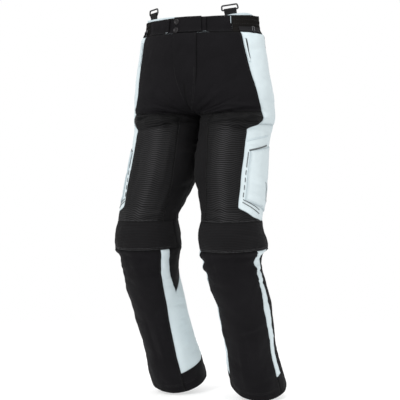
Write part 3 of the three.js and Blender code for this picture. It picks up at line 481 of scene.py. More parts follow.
def effect(name, inputs, outputs):
    """A node group with named sockets, and its two ends. An input with no value is a vector."""
    tree = bpy.data.node_groups.new(name, "ShaderNodeTree")
    for label, value in inputs.items():
        kind = "NodeSocketVector" if value is None else "NodeSocketFloat"
        socket = tree.interface.new_socket(name=label, in_out="INPUT", socket_type=kind)
        if value is not None:
            socket.default_value = value
    for label in outputs:
        tree.interface.new_socket(name=label, in_out="OUTPUT", socket_type="NodeSocketFloat")
    return tree, tree.nodes.new("NodeGroupInput").outputs, tree.nodes.new("NodeGroupOutput").inputs


def woven_threads():
    """Warp and weft crossing over and under each other."""
    given = {"Place": None, "Threads per metre": 900.0}
    tree, given, out = effect("woven_threads", given, ("Height", "Tone"))
    scaled = put(tree, "ShaderNodeVectorMath", {0: given["Place"], "Scale": given["Threads per metre"]},
                 operation="SCALE").outputs[0]
    axes = put(tree, "ShaderNodeSeparateXYZ", {0: scaled}).outputs
    warp, weft = (calc(tree, "ABSOLUTE", calc(tree, "SINE", calc(tree, "MULTIPLY", axes[k], math.pi)))
                  for k in (0, 1))
    cell = put(tree, "ShaderNodeTexChecker", {"Vector": scaled, "Scale": 1.0}).outputs["Fac"]
    over = calc(tree, "MULTIPLY", warp, cell)
    under = calc(tree, "MULTIPLY", weft, calc(tree, "SUBTRACT", 1.0, cell))
    height = calc(tree, "ADD", over, under)
    plug(tree, out["Height"], height)
    plug(tree, out["Tone"], calc(tree, "MULTIPLY_ADD", height, 0.35, 0.65))
    return tree


def level_ribs():
    """Level ribs down the cloth, knotted along their length."""
    tree, given, out = effect("level_ribs", {"Place": None, "Pitch": 0.0056, "Links": 420.0}, ("Height",))
    axes = put(tree, "ShaderNodeSeparateXYZ", {0: given["Place"]}).outputs
    turn = calc(tree, "MULTIPLY", calc(tree, "DIVIDE", axes[1], given["Pitch"]), 2 * math.pi)
    crest = calc(tree, "MULTIPLY_ADD", calc(tree, "COSINE", turn), 0.5, 0.5)
    across = calc(tree, "MULTIPLY", calc(tree, "MULTIPLY", axes[0], given["Links"]), math.pi)
    knot = calc(tree, "ABSOLUTE", calc(tree, "SINE", across))
    plug(tree, out["Height"], calc(tree, "MULTIPLY", crest, calc(tree, "MULTIPLY_ADD", knot, 0.5, 0.5)))
    return tree


def worn_tone_and_seam_shade():
    """Slow change of tone over the cloth, and the darker line along its seams: soil with painted shade."""
    tree, given, out = effect("worn_tone_and_seam_shade", {"Place": None, "Seam": 0.0, "Patch size": 14.0}, ("Tone", "Soil_and_shade"))
    place = given["Place"]
    large, fine = (
        put(tree, "ShaderNodeTexNoise", {"Vector": place, "Scale": scale, "Detail": detail}).outputs["Fac"]
        for scale, detail in ((given["Patch size"], 3.0), (260.0, 2.0))
    )
    plug(tree, out["Tone"], calc(tree, "MULTIPLY_ADD", fine, 0.3, calc(tree, "MULTIPLY", large, 0.7)))
    patchy = calc(tree, "MULTIPLY_ADD", large, 0.8, 0.3)
    plug(tree, out["Soil_and_shade"], calc(tree, "MULTIPLY", given["Seam"], patchy))
    return tree


WOVEN, RIBS, WORN_AND_SEAM_SHADE = woven_threads(), level_ribs(), worn_tone_and_seam_shade()


def use(tree, group, **inputs):
    named = {key.replace("_", " "): value for key, value in inputs.items()}
    return put(tree, "ShaderNodeGroup", named, node_tree=group).outputs


def start_material(name):
    material = bpy.data.materials.new(name)
    material.use_nodes = True
    tree = material.node_tree
    tree.nodes.clear()
    shader = tree.nodes.new("ShaderNodeBsdfPrincipled")
    put(tree, "ShaderNodeOutputMaterial", {0: shader.outputs[0]})
    return material, tree, shader.inputs


def bump(tree, shader, height, strength, distance):
    node = put(tree, "ShaderNodeBump", {"Height": height, "Strength": strength, "Distance": distance})
    plug(tree, shader["Normal"], node.outputs[0])


def cloth_finish(name, low, high, soil_and_shade, threads=900.0, rough=0.85, shine=0.1, rib=None, rib_highlight_tone=None,
                 depth=0.0003):
    """A woven or knitted cloth: tone between low and high, darker at seams with soil and painted shade, ribs
    if it has them, their crests lightened as a painted highlight.
    """
    material, tree, shader = start_material(name)
    place = put(tree, "ShaderNodeUVMap", uv_map="cloth").outputs[0]
    seam = put(tree, "ShaderNodeAttribute", attribute_name="seam").outputs["Fac"]
    weave = use(tree, WOVEN, Place=place, Threads_per_metre=threads)
    wear_and_shade = use(tree, WORN_AND_SEAM_SHADE, Place=place, Seam=seam)
    colour = blend(tree, calc(tree, "MULTIPLY", wear_and_shade["Tone"], weave["Tone"]), (*low, 1), (*high, 1))
    height = weave["Height"]
    if rib:
        ribs = use(tree, RIBS, Place=place, Pitch=rib)["Height"]
        ribbed = put(tree, "ShaderNodeAttribute", attribute_name="ribbed").outputs["Fac"]
        # painted highlight: the rib crests are lightened towards the rib tone, weighted per point
        lit = calc(tree, "MULTIPLY", calc(tree, "POWER", ribs, 1.6), ribbed)
        colour = blend(tree, lit, colour, (*rib_highlight_tone, 1))
        height = calc(tree, "ADD", height, calc(tree, "MULTIPLY", ribs, 2.0))
    # darker towards the seams: soil with painted shade
    plug(tree, shader["Base Color"], blend(tree, wear_and_shade["Soil_and_shade"], colour, (*soil_and_shade, 1)))
    plug(tree, shader["Roughness"], calc(tree, "MULTIPLY_ADD", wear_and_shade["Tone"], -0.12, rough + 0.06))
    shader["Sheen Weight"].default_value = 0.02
    shader["Sheen Roughness"].default_value = 0.5
    shader["Specular IOR Level"].default_value = shine
    bump(tree, shader, height, 0.5, depth)
    return material


def plain_finish(name, low, high, rough=0.6, metal=False):
    """Thread, piping or metal: one tone that changes slowly between low and high."""
    material, tree, shader = start_material(name)
    place = put(tree, "ShaderNodeTexCoord").outputs["Object"]
    tone = use(tree, WORN_AND_SEAM_SHADE, Place=place, Patch_size=90.0 if metal else 60.0)["Tone"]
    plug(tree, shader["Base Color"], blend(tree, tone, (*low, 1), (*high, 1)))
    plug(tree, shader["Roughness"], calc(tree, "MULTIPLY_ADD", tone, 0.25, rough) if metal else rough)
    shader["Metallic"].default_value = 1.0 if metal else 0.0
    bump(tree, shader, tone, 0.2 if metal else 0.3, 0.0002)
    return material


# seam colours: soil with painted shade
DARK_SOIL_AND_SHADE = (0.0025, 0.0025, 0.0025)
STRETCH_LOW = (0.0045, 0.0043, 0.0048)
finish = {slot: cloth_finish(slot + "_cloth", low, high, soil_and_shade, **how) for slot, low, high, soil_and_shade, how in (
    ("shell_dark", (0.0034, 0.0031, 0.0038), (0.0102, 0.0093, 0.0112), DARK_SOIL_AND_SHADE, {"rough": 0.82}),
    ("shell_pale", (0.66, 0.755, 0.785), (0.79, 0.88, 0.905), (0.38, 0.45, 0.48),
     {"threads": 800.0, "rough": 0.78, "shine": 0.3, "depth": 0.00015}),
    # the rib tones of the mesh and of the knee stretch are painted highlights on the rib crests
    ("mesh_dark", (0.0015, 0.0015, 0.0018), (0.0038, 0.0036, 0.004), (0.004, 0.004, 0.004),
     {"rib": RIB_PITCH * MM, "rib_highlight_tone": (0.052, 0.051, 0.054), "rough": 0.55, "shine": 0.12}),
    ("stretch_dark", STRETCH_LOW, (0.01, 0.0095, 0.0105), DARK_SOIL_AND_SHADE,
     {"rib": KNEE_RIB_PITCH * MM, "rib_highlight_tone": (0.014, 0.0135, 0.0145), "rough": 0.8}),
    ("stretch_plain", STRETCH_LOW, (0.0105, 0.01, 0.011), DARK_SOIL_AND_SHADE, {"threads": 1300.0, "rough": 0.8}),
    ("facing_pale", (0.56, 0.66, 0.7), (0.7, 0.78, 0.81), (0.36, 0.42, 0.45),
     {"threads": 650.0, "rough": 0.9}),
    ("elastic_dark", (0.0042, 0.0037, 0.0034), (0.0115, 0.0098, 0.0088), (0.0025, 0.0022, 0.002),
     {"threads": 500.0}),
    ("webbing_dark", (0.008, 0.0078, 0.0085), (0.026, 0.025, 0.027), (0.005, 0.005, 0.005),
     {"threads": 420.0, "rough": 0.75, "depth": 0.0004}),
)}
ring_metal = plain_finish("ring_dark_nickel", (0.03, 0.03, 0.032), (0.1, 0.1, 0.105), 0.3, True)
snap_metal = plain_finish("snap_dark_nickel", (0.018, 0.017, 0.018), (0.05, 0.048, 0.05), 0.35, True)
slide_metal = plain_finish("slide_nickel", (0.1, 0.1, 0.105), (0.22, 0.22, 0.23), 0.35, True)
thread = {
    "dark": plain_finish("thread_dark", (0.005, 0.0048, 0.005), (0.013, 0.0125, 0.013)),
    "grey": plain_finish("thread_grey", (0.07, 0.07, 0.075), (0.14, 0.14, 0.15)),
    "pale": plain_finish("thread_pale", (0.42, 0.5, 0.54), (0.62, 0.7, 0.74)),
}
piping_grey = plain_finish("piping_grey", (0.075, 0.085, 0.09), (0.13, 0.14, 0.15), 0.4)
# painted shade: the dark finish that stands for the shadow in the hip pocket's slit
painted_slit_shade = plain_finish("painted_slit_shade", (0.004, 0.004, 0.004), (0.012, 0.012, 0.012), 0.9)


# Meshes

def new_object(name, vertices, faces, smooth=True, sharp=50):
    mesh = bpy.data.meshes.new(name)
    mesh.from_pydata(vertices.tolist(), [], faces.tolist() if hasattr(faces, "tolist") else faces)
    mesh.update()
    if smooth:
        mesh.shade_smooth()
        mesh.set_sharp_from_angle(angle=math.radians(sharp))
    piece = bpy.data.objects.new(name, mesh)
    bpy.context.scene.collection.objects.link(piece)
    return piece


def dress(piece, material, node=None, body_name=BODY_NAME):
    """A piece's material and body, and the solid that it stands for, if it does."""
    piece.data.materials.append(material)
    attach(piece, body_name)
    if node:
        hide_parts(node)


def set_numbers(mesh, **numbers):
    for name, values in numbers.items():
        attribute = mesh.attributes.new(name, "FLOAT", "POINT")
        attribute.data.foreach_set("value", values.astype(np.float32))


def tube_faces(rings, sides, closed=False):
    """Faces between rings of points that follow each other."""
    i, j = np.meshgrid(np.arange(rings if closed else rings - 1), np.arange(sides), indexing="ij")
    after, k = (i + 1) % rings, (j + 1) % sides
    return np.stack([i * sides + j, i * sides + k, after * sides + k, after * sides + j], -1).reshape(-1, 4)


def wall(name, outer, inner, uv, seam, mask=None, ribbed=None):
    """A closed cloth wall from an outer and an inner grid of points in mm."""
    rows, cols = outer.shape[:2]
    mask = np.ones((rows - 1, cols - 1), bool) if mask is None else mask
    i, j = np.nonzero(mask)
    a, b, c, d = i * cols + j, i * cols + j + 1, (i + 1) * cols + j + 1, (i + 1) * cols + j
    n = rows * cols
    faces = [np.stack([a, d, c, b], 1), np.stack([a + n, b + n, c + n, d + n], 1)]
    padded = np.pad(mask, 1)
    for (p, q), (di, dj) in zip(((a, b), (b, c), (c, d), (d, a)), ((-1, 0), (0, 1), (1, 0), (0, -1))):
        free = ~padded[i + 1 + di, j + 1 + dj]
        faces.append(np.stack([p, q, q + n, p + n], 1)[free])
    faces = np.concatenate(faces)
    points = np.concatenate([outer.reshape(-1, 3), inner.reshape(-1, 3)])
    v = points[faces]
    volume = np.einsum("ij,ij->i", v[:, 0], np.cross(v[:, 1], v[:, 2])).sum()
    volume += np.einsum("ij,ij->i", v[:, 0], np.cross(v[:, 2], v[:, 3])).sum()
    if volume < 0:
        faces = faces[:, ::-1]
    used, index = np.unique(faces, return_inverse=True)
    piece = new_object(name, points[used] * MM, index.reshape(faces.shape))
    flat = np.tile(uv.reshape(-1, 2), (2, 1)).astype(np.float32) * MM
    piece.data.uv_layers.new(name="cloth").data.foreach_set("uv", flat[used][index.ravel()].ravel())
    set_numbers(piece.data, seam=np.tile(seam.ravel(), 2)[used])
    # per point weight of the painted highlight on the rib crests
    if ribbed is not None:
        set_numbers(piece.data, ribbed=np.tile(ribbed.ravel(), 2)[used])
    return piece


def declare_cloth(grid, mask=None):
    """Works out the width, length and area of a cloth piece from its grid before folding, and keeps none of
    them.
    """
    width = np.linalg.norm(np.diff(grid, axis=1), axis=-1).sum(1).max() * MM
    length = np.linalg.norm(np.diff(grid, axis=0), axis=-1).sum(0).max() * MM
    corner = grid[:-1, :-1]
    cell = np.linalg.norm(np.cross(grid[:-1, 1:] - corner, grid[1:, :-1] - corner), axis=-1) * MM * MM
    area = (cell if mask is None else cell * mask).sum()
    area = min(max(area, 0.31 * width * length), width * length)


def girth(side, s, t):
    """How many mm one unit of t is at a place."""
    return np.linalg.norm(tube(side, s, t + 0.005) - tube(side, s, t - 0.005), axis=-1) / 0.01


def cut(side, top, bottom, edges, step=STEP, row_step=None):
    """The grid of a panel between its seams, and how far each place is from its top, bottom, front and
    rear edge."""
    length = top - bottom
    middle = np.linspace(top, bottom, 9)
    first, last = edges(middle)
    width = (girth(side, middle, (first + last) / 2) * (last - first)).mean()
    down, over = spaced(length, row_step or step)[:, None], spaced(width, step)[None, :]
    s = top - SEAM_HALF - (length - 2 * SEAM_HALF) * down
    first, last = edges(s)
    margin = SEAM_HALF / width * (last - first)
    t = first + margin + (last - first - 2 * margin) * over
    shape = t.shape
    far = (down * length, (1 - down) * length, over * width, (1 - over) * width)
    return np.broadcast_to(s, shape), t, [np.broadcast_to(distance, shape) for distance in far]


def sew(node, slot, side, s, t, far, upper, look=None, relief=0.0, lift=0.0, sink=SEAM_SINK, mask=None,
        ribbed=None, sway=0.0):
    """A panel from its grid. far is the distance to the nearest seam, in mm."""
    across = girth(side, s[len(s) // 2], t[len(s) // 2]).mean()
    ripple = np.sin(s / 3.1 + 2 * np.sin(s / 23)) * np.sin(t * across / 2.9 + 1.4 * np.sin(t * 31))
    height = lift - sink * np.exp(-(far / SEAM_SINK_REACH) ** 2)
    height = height + PUCKER * ripple * np.exp(-far / PUCKER_REACH) * np.clip(far / 2, 0, 1)
    cloth_at = draped(side, s, t)
    outer, inner = cloth_at(height + relief), cloth_at(height - CLOTH)
    uv = np.stack([t * across, s + sway], axis=-1)
    # the seam weight darkens the cloth towards its seams: soil with painted shade
    piece = wall(node + "_cloth", outer, inner, uv, np.exp(-far / SOIL_AND_SHADE_REACH), mask, ribbed)
    dress(piece, finish[look or slot], node)
    declare_cloth(tube(side, s, t), mask)


def panel(node, slot, side, top, bottom, edges, upper, step=STEP, row_step=None, open_edge="", line_at=None,
          relief=None, ribbed=None, sway=None, **how):
    """A panel cut between edges(s) and sewn. open_edge names the edges with no seam, out of
    t top, b bottom, f front and r rear."""
    s, t, far = cut(side, top, bottom, edges, step, row_step)
    near = np.full(t.shape, 99.0)
    for name, distance in zip("tbfr", far):
        if name not in open_edge:
            near = np.minimum(near, distance)
    if line_at:
        s = line_at(s, t)
    sew(node, slot, side, s, t, near, upper, relief=relief(s, t) if relief else 0.0,
        ribbed=ribbed(s, t) if ribbed else None, sway=sway(s, t) if sway else 0.0, **how)


# Legs and seat

def between(side, first, last):
    """Edges of a panel between two seams, each a seam line or one t."""
    def at(edge, s):
        return edge(side, s) if callable(edge) else np.full(np.shape(s), float(edge))
    return lambda s: (at(first, s), at(last, s))


def line_rise(s, t):
    """The calf, wedge and inner panel rise to the back of the knee."""
    reach = np.where(t > 0.5, (t - STRIPE_REAR) / (GUSSET_REAR - STRIPE_REAR),
                     (WEDGE_TIP - t) / (WEDGE_TIP + 1 - GUSSET_REAR))
    above = np.clip((KNEE_BOTTOM - s) / (KNEE_BOTTOM - WEDGE_BOTTOM), 0, 1)
    below = np.clip((s - GUSSET_BOTTOM) / (WEDGE_BOTTOM - GUSSET_BOTTOM), 0, 1)
    return s + WEDGE_RISE * np.clip(reach, 0, 1) * above * below


MESH_FADE_FROM, MESH_FADE = -286, 34


def mesh_depth(s):
    return np.clip((MESH_FADE_FROM - s) / MESH_FADE, 0, 1)


def mesh_ribbed(side):
    """Weight of the painted highlight on the ribs: most down the middle of the mesh and along its fold ridge,
    least at its inner seam.
    """
    ridge = 0.222 if side < 0 else 0.278

    def ribbed(s, t):
        share = (t - mesh_in(side, s)) / (side_front(side, s) - mesh_in(side, s))
        middle, on_ridge = np.exp(-((share - 0.5) / 0.3) ** 2), np.exp(-((t - ridge) / 0.02) ** 2)
        return mesh_depth(s) * (0.2 + 0.5 * middle + 0.45 * on_ridge)
    return ribbed


def mesh_sway(s, t):
    """How far the ribs leave the level, in mm."""
    return 3.2 * np.sin(t * 47 + s / 71) + 1.5 * np.sin(t * 88 - s / 39)


def ribs(s, height, pitch):
    return height * (0.5 + 0.5 * np.cos(2 * np.pi * s / pitch))


def mesh_ribs(s, t):
    return mesh_depth(s) * ribs(s + mesh_sway(s, t), RIB_HEIGHT, RIB_PITCH)


def knee_ribs(s, t):
    return ribs(s, KNEE_RIB_HEIGHT, KNEE_RIB_PITCH)


def pocket_edges(side):
    """The pocket lies between two shares of the way over the pale side panel."""
    def edges(s):
        first, last = side_front(side, s), side_rear(side, s)
        return first + POCKET_FRONT * (last - first), first + POCKET_REAR * (last - first)
    return edges


def pocket_line(side):
    """The pocket's top rises to the rear and its foot falls."""
    def line(s, t):
        down = (POCKET_TOP - s) / (POCKET_TOP - POCKET_BOTTOM)
        low, high = pocket_edges(side)(s)
        share = (t - low) / (high - low)
        return s + (POCKET_RISE * (1 - down) - POCKET_FALL * down) * share
    return line


def inner_panel(side, end):
    """The pale inner panel of the lower leg, cut away where the dark knee wedge goes in."""
    upper_rows = KNEE_BOTTOM - (KNEE_BOTTOM - WEDGE_BOTTOM) * spaced(KNEE_BOTTOM - WEDGE_BOTTOM, STEP)
    lower_rows = WEDGE_BOTTOM - (WEDGE_BOTTOM - GUSSET_BOTTOM) * spaced(WEDGE_BOTTOM - GUSSET_BOTTOM, STEP)
    rows = np.concatenate([upper_rows, lower_rows[1:]])
    corner = len(upper_rows) - 1
    rear, middle, front = GUSSET_REAR - 1, wedge_front(side, rows), gusset_front(side, rows)
    around = girth(side, WEDGE_BOTTOM, 0.0)
    rear_shares = spaced(around * (middle[corner] - rear), STEP)
    front_shares = spaced(around * (front[corner] - middle[corner]), STEP)
    turn = len(rear_shares) - 1
    margin = SEAM_HALF / around
    t = np.concatenate([
        rear + margin + (middle - rear - margin)[:, None] * rear_shares,
        middle[:, None] + (front - margin - middle)[:, None] * front_shares[1:],
    ], axis=1)
    t[:corner, turn] += margin
    s = np.repeat(rows[:, None], t.shape[1], axis=1)
    s[0] -= SEAM_HALF
    s[-1] += SEAM_HALF
    s[corner, :turn] -= SEAM_HALF
    mask = np.ones((t.shape[0] - 1, t.shape[1] - 1), bool)
    mask[:corner, :turn] = False
    far = np.minimum((front[:, None] - t) * around, s - GUSSET_BOTTOM)
    beside_wedge = np.minimum((t - middle[:, None]) * around, KNEE_BOTTOM - s)
    under_wedge = np.hypot(np.maximum((t - middle[:, None]) * around, 0), WEDGE_BOTTOM - s)
    lower = np.minimum((t - rear) * around, under_wedge)
    far = np.maximum(np.minimum(far, np.where(s > WEDGE_BOTTOM, beside_wedge, lower)), 0)
    sew("gusset" + end, "shell_pale", side, line_rise(s, t), t, far, "knee_front" + end, mask=mask)


SIDES = ((RIGHT, "_r"), (LEFT, "_l"))
for side, end in SIDES:
    def make(node, slot, top, bottom, first, last, upper, **how):
        panel(node + end, slot, side, top, bottom, between(side, first, last), upper + end, **how)

    make("front_yoke", "shell_dark", BAND_BOTTOM, YOKE_BOTTOM, -MIDDLE_LAP, side_front, "waistband_front")
    make("hip_side", "shell_pale", BAND_BOTTOM, HIP_SIDE_BOTTOM, side_front, side_rear, "waistband_side")
    seat_edges = between(side, side_rear, 1 + MIDDLE_LAP)
    panel("seat" + end, "shell_dark", side, BAND_BOTTOM, YOKE_BOTTOM, seat_edges, "waistband_back")
    make("thigh_mesh", "mesh_dark", YOKE_BOTTOM, KNEE_TOP, mesh_in, side_front, "front_yoke", step=4.6,
         row_step=1.4, relief=mesh_ribs, ribbed=mesh_ribbed(side), sway=mesh_sway)
    make("thigh_inner", "stretch_dark", YOKE_BOTTOM, KNEE_TOP, 0, mesh_in, "front_yoke", look="stretch_plain")
    make("thigh_back", "shell_dark", YOKE_BOTTOM, KNEE_TOP, side_rear, 1, "seat", step=4.6)
    make("thigh_side", "shell_pale", HIP_SIDE_BOTTOM, KNEE_TOP, side_front, side_rear, "hip_side")
    panel("cargo_pocket" + end, "shell_pale", side, POCKET_TOP, POCKET_BOTTOM, pocket_edges(side),
          "thigh_side" + end, step=3.2, line_at=pocket_line(side), lift=3.0, sink=0.7)
    # the knee ribs carry the painted highlight evenly all over
    make("knee_front", "stretch_dark", KNEE_TOP, KNEE_BOTTOM, KNEE_IN, KNEE_OUT, "thigh_mesh", step=4.2,
         row_step=0.95, relief=knee_ribs, ribbed=lambda s, t: np.ones(s.shape))
    make("knee_back", "shell_dark", KNEE_TOP, KNEE_BOTTOM, KNEE_OUT, 1 + KNEE_IN, "thigh_back")
    inner_panel(side, end)
    make("knee_wedge", "stretch_dark", KNEE_BOTTOM, WEDGE_BOTTOM, GUSSET_REAR - 1, wedge_front, "knee_back",
         line_at=line_rise, look="stretch_plain")
    make("shin", "shell_dark", KNEE_BOTTOM, HEM, gusset_front, stripe_front, "knee_front", open_edge="b")
    make("outer_stripe", "shell_pale", KNEE_BOTTOM, GUSSET_BOTTOM, stripe_front, STRIPE_REAR, "knee_back",
         step=2.8)
    make("calf", "shell_dark", KNEE_BOTTOM, GUSSET_BOTTOM, STRIPE_REAR, GUSSET_REAR, "knee_back",
         line_at=line_rise)
    make("hem_guard", "shell_dark", GUSSET_BOTTOM, HEM, stripe_front,
         lambda side, s: 1 + gusset_front(side, s), "calf", open_edge="b")


# Waist

BAND_SEAM_R = -0.278
BAND_NOTCH_R = -0.284
BAND_SEAM_L = 0.258
BAND_REAR = 0.62
BAND_GAP = 0.6
# Half the slit between two pieces of the band, in q, and mm of cloth for one step of q or t.
BAND_SLIT = 0.0004
MM_PER_Q, MM_PER_T, MM_PER_FLY_Q = 520, 560, 500
TAB_LIFT = 2.6
TAB_ENDS = (-0.072, 0.084)
TAB_STITCHES = (-0.066, 0.078)
FLY_LIFT = 3.0
FLY_TOP, FLY_BOTTOM = -52.5, -226
FACING_LIFT, FACING_CLOTH, FACING_FOOT = -3.0, 1.5, 0.67
TRIM_CLOTH = 1.6
ADJUSTER_LIFT = 2.6
BELT_LOOP_HALF = 0.0105
EDGE_ROUND = 0.6


def on_band(q, share, lift=0.0, edge="band"):
    """A place on the waist strips: q goes round the waist, share down the band."""
    side, t = halves(q)
    point = skin(side, BAND_BOTTOM * share, t, lift)
    point[..., 2] += np.where(side < 0, rim[edge + "_r"](t), rim[edge + "_l"](t)) * (1 - share)
    return point


def strip(node, slot, top, bottom, first, last, lift=0.0, thick=CLOTH, edge="band", step=4.0,
          row_step=3.0, relief=None, whole=True):
    """A strip of cloth round the waist from share top to share bottom. first and last give its ends in q
    at each share."""
    height = (bottom - top) * -BAND_BOTTOM
    middle = np.array((top + bottom) / 2)
    q0, q1 = float(first(middle)), float(last(middle))
    side, t = halves(np.linspace(q0, q1, 9))
    width = girth(side, BAND_BOTTOM * middle, t).mean() * (q1 - q0)
    down = spaced(height, row_step, STRIP_EDGE)[:, None]
    over = spaced(width, step, STRIP_EDGE)[None, :]
    share = top + (bottom - top) * down
    q = first(share) + (last(share) - first(share)) * over
    share = np.broadcast_to(share, q.shape)
    far = np.minimum(np.minimum(down, 1 - down) * height, np.minimum(over, 1 - over) * width)
    turn = EDGE_ROUND * np.exp(-(far / 1.1) ** 2)
    out = lift(share) if callable(lift) else lift
    outer = on_band(q, share, out - turn + (relief(q, share) if relief else 0.0), edge)
    inner = on_band(q, share, out - thick + turn * 0.6, edge)
    uv = np.stack([q * width / (q1 - q0), share * BAND_BOTTOM], axis=-1)
    # the seam weight darkens the strip towards its edges: soil with painted shade
    piece = wall(node + "_cloth", outer, inner, uv, np.exp(-far / 1.6) * 0.6)
    dress(piece, finish[slot], node)
    if whole:
        side, t = halves(q)
        declare_cloth(tube(side, share * BAND_BOTTOM, t))


def at_q(value):
    return lambda share: np.full(np.shape(share), float(value))


def gathers(q, share):
    """Upright gathers of an elastic band between its level rows of stitching."""
    row = np.abs(np.sin(np.pi * 4 * share))
    return 0.9 * row * np.sin(q * MM_PER_Q / 1.25 + 1.3 * np.sin(q * 61) + 0.6 * np.sin(share * 9))


def band_ripple(q, share):
    return 0.25 * np.sin(q * 130 + 2 * np.sin(q * 23)) * np.sin(np.pi * share)


BAND_ENDS = BAND_GAP / -BAND_BOTTOM
for node, slot, first, last, relief in (
    ("waistband_front_r", "shell_dark", BAND_SEAM_R, -BAND_SLIT, band_ripple),
    ("waistband_front_l", "shell_dark", BAND_SLIT, BAND_SEAM_L - BAND_SLIT, band_ripple),
    ("waistband_side_r", "elastic_dark", -BAND_REAR + BAND_SLIT, BAND_NOTCH_R, gathers),
    ("waistband_side_l", "elastic_dark", BAND_SEAM_L + BAND_SLIT, BAND_REAR - BAND_SLIT, gathers),
    ("waistband_back", "shell_dark", BAND_REAR + BAND_SLIT, 2 - BAND_REAR - BAND_SLIT, band_ripple),
):
    fine = 1.5 if relief is gathers else 4.0
    strip(node, slot, 0, 1 - BAND_ENDS, at_q(first), at_q(last), relief=relief, step=fine)
strip("waist_facing", "facing_pale", 0, FACING_FOOT, at_q(0.0005), at_q(1.9995),
      lift=FACING_LIFT, thick=FACING_CLOTH, edge="facing", relief=band_ripple)
strip("waist_tab", "shell_dark", -0.04, 0.97, at_q(TAB_ENDS[0]), at_q(TAB_ENDS[1]),
      lift=TAB_LIFT, row_step=2.5, step=2.5)
strip("fly_placket", "shell_dark", FLY_TOP / BAND_BOTTOM, FLY_BOTTOM / BAND_BOTTOM,
      lambda share: -fly_edge(RIGHT, BAND_BOTTOM * share), lambda share: fly_edge(LEFT, BAND_BOTTOM * share),
      lift=FLY_LIFT, row_step=3.6, step=3.0)

BELT_LOOPS = {"belt_loop_front_r": -0.112, "belt_loop_front_l": 0.1, "belt_loop_back_r": 1.14,
              "belt_loop_back_l": 0.86}
LOOP_SHARE = (0.03, 0.16, 0.5, 0.84, 0.99)
LOOP_OFF = (0.5, 2.6, 3.4, 2.6, 0.5)


def loop_lift(share):
    return np.interp(share, LOOP_SHARE, LOOP_OFF) + TRIM_CLOTH


for node, q in BELT_LOOPS.items():
    strip(node, "shell_dark", 0.03, 0.99, at_q(q - BELT_LOOP_HALF), at_q(q + BELT_LOOP_HALF),
          lift=loop_lift, thick=TRIM_CLOTH, step=1.6, row_step=2.0, whole=False)
for node, first, last in (("adjuster_r", -0.5, -0.31), ("adjuster_l", 0.3, 0.52)):
    strip(node, "webbing_dark", 0.67, 0.98, at_q(first), at_q(last), lift=ADJUSTER_LIFT,
          thick=TRIM_CLOTH, step=2.5, row_step=2.0, whole=False)

# Loose end of the right adjuster, standing off the hip.
TAIL_FROM, TAIL_TO, TAIL_OFF = -0.372, -0.29, 7.5
TAIL_LONG = TAIL_TO - TAIL_FROM
share, q = np.meshgrid(0.66 + 0.28 * spaced(14, 2, TRIM_EDGE),
                       TAIL_FROM + TAIL_LONG * spaced(40, 2.4, TRIM_EDGE), indexing="ij")
rise = ADJUSTER_LIFT + TRIM_CLOTH + 0.2 + TAIL_OFF * ((q - TAIL_FROM) / TAIL_LONG) ** 2.2
tail = wall("adjuster_tail_r", on_band(q, share, rise), on_band(q, share, rise - TRIM_CLOTH),
            np.stack([q * MM_PER_Q, share * BAND_BOTTOM], -1), np.zeros(q.shape))
dress(tail, finish["webbing_dark"])


# Lines on the cloth

def smooth_line(places, count=24):
    """Points close together along a smooth line through (s, t) places on one half."""
    places = np.array(places, float)
    whole = np.concatenate([2 * places[:1] - places[1:2], places, 2 * places[-1:] - places[-2:-1]])
    lines = []
    for a, b, c, d in zip(whole, whole[1:], whole[2:], whole[3:]):
        u = np.linspace(0, 1, count, endpoint=False)[:, None]
        lines.append(0.5 * (2 * b + (c - a) * u + (2 * a - 5 * b + 4 * c - d) * u * u
                            + (3 * b - a - 3 * c + d) * u ** 3))
    return np.concatenate(lines + [places[-1:]]).T


def beside(side, s, t, off):
    """The t that lies off mm further round."""
    return t + off / girth(side, s, t)


def run_on(side, s, t, lift):
    """Points and outward directions along a line on the cloth."""
    s, t = np.broadcast_arrays(np.asarray(s, float), np.asarray(t, float))
    return skin(side, s, t, lift), outward(side, s, t)


def run_on_band(q, share, lift):
    q, share = np.broadcast_arrays(np.asarray(q, float), np.asarray(share, float))
    side, t = halves(q)
    return on_band(q, share, lift), outward(side, BAND_BOTTOM * share, t)


STITCH, STITCH_GAP, STITCH_WIDTH, STITCH_HEIGHT = 2.6, 1.0, 0.5, 0.42
stitch_runs = {}


def stitch(colour, group, run, length=STITCH, gap=STITCH_GAP, width=STITCH_WIDTH):
    stitch_runs.setdefault((colour, group), []).append((*run, length, gap, width))


# Faces of a spindle: its tips are points 0 and 1, and the ring between them is 2 to 5.
SPINDLE = [(0, 3, 2), (0, 4, 3), (0, 5, 4), (0, 2, 5), (1, 2, 3), (1, 3, 4), (1, 4, 5), (1, 5, 2)]


def read(at, along, what):
    """The points or directions at places along a line."""
    return np.stack([np.interp(at, along, what[:, k]) for k in range(3)], 1)


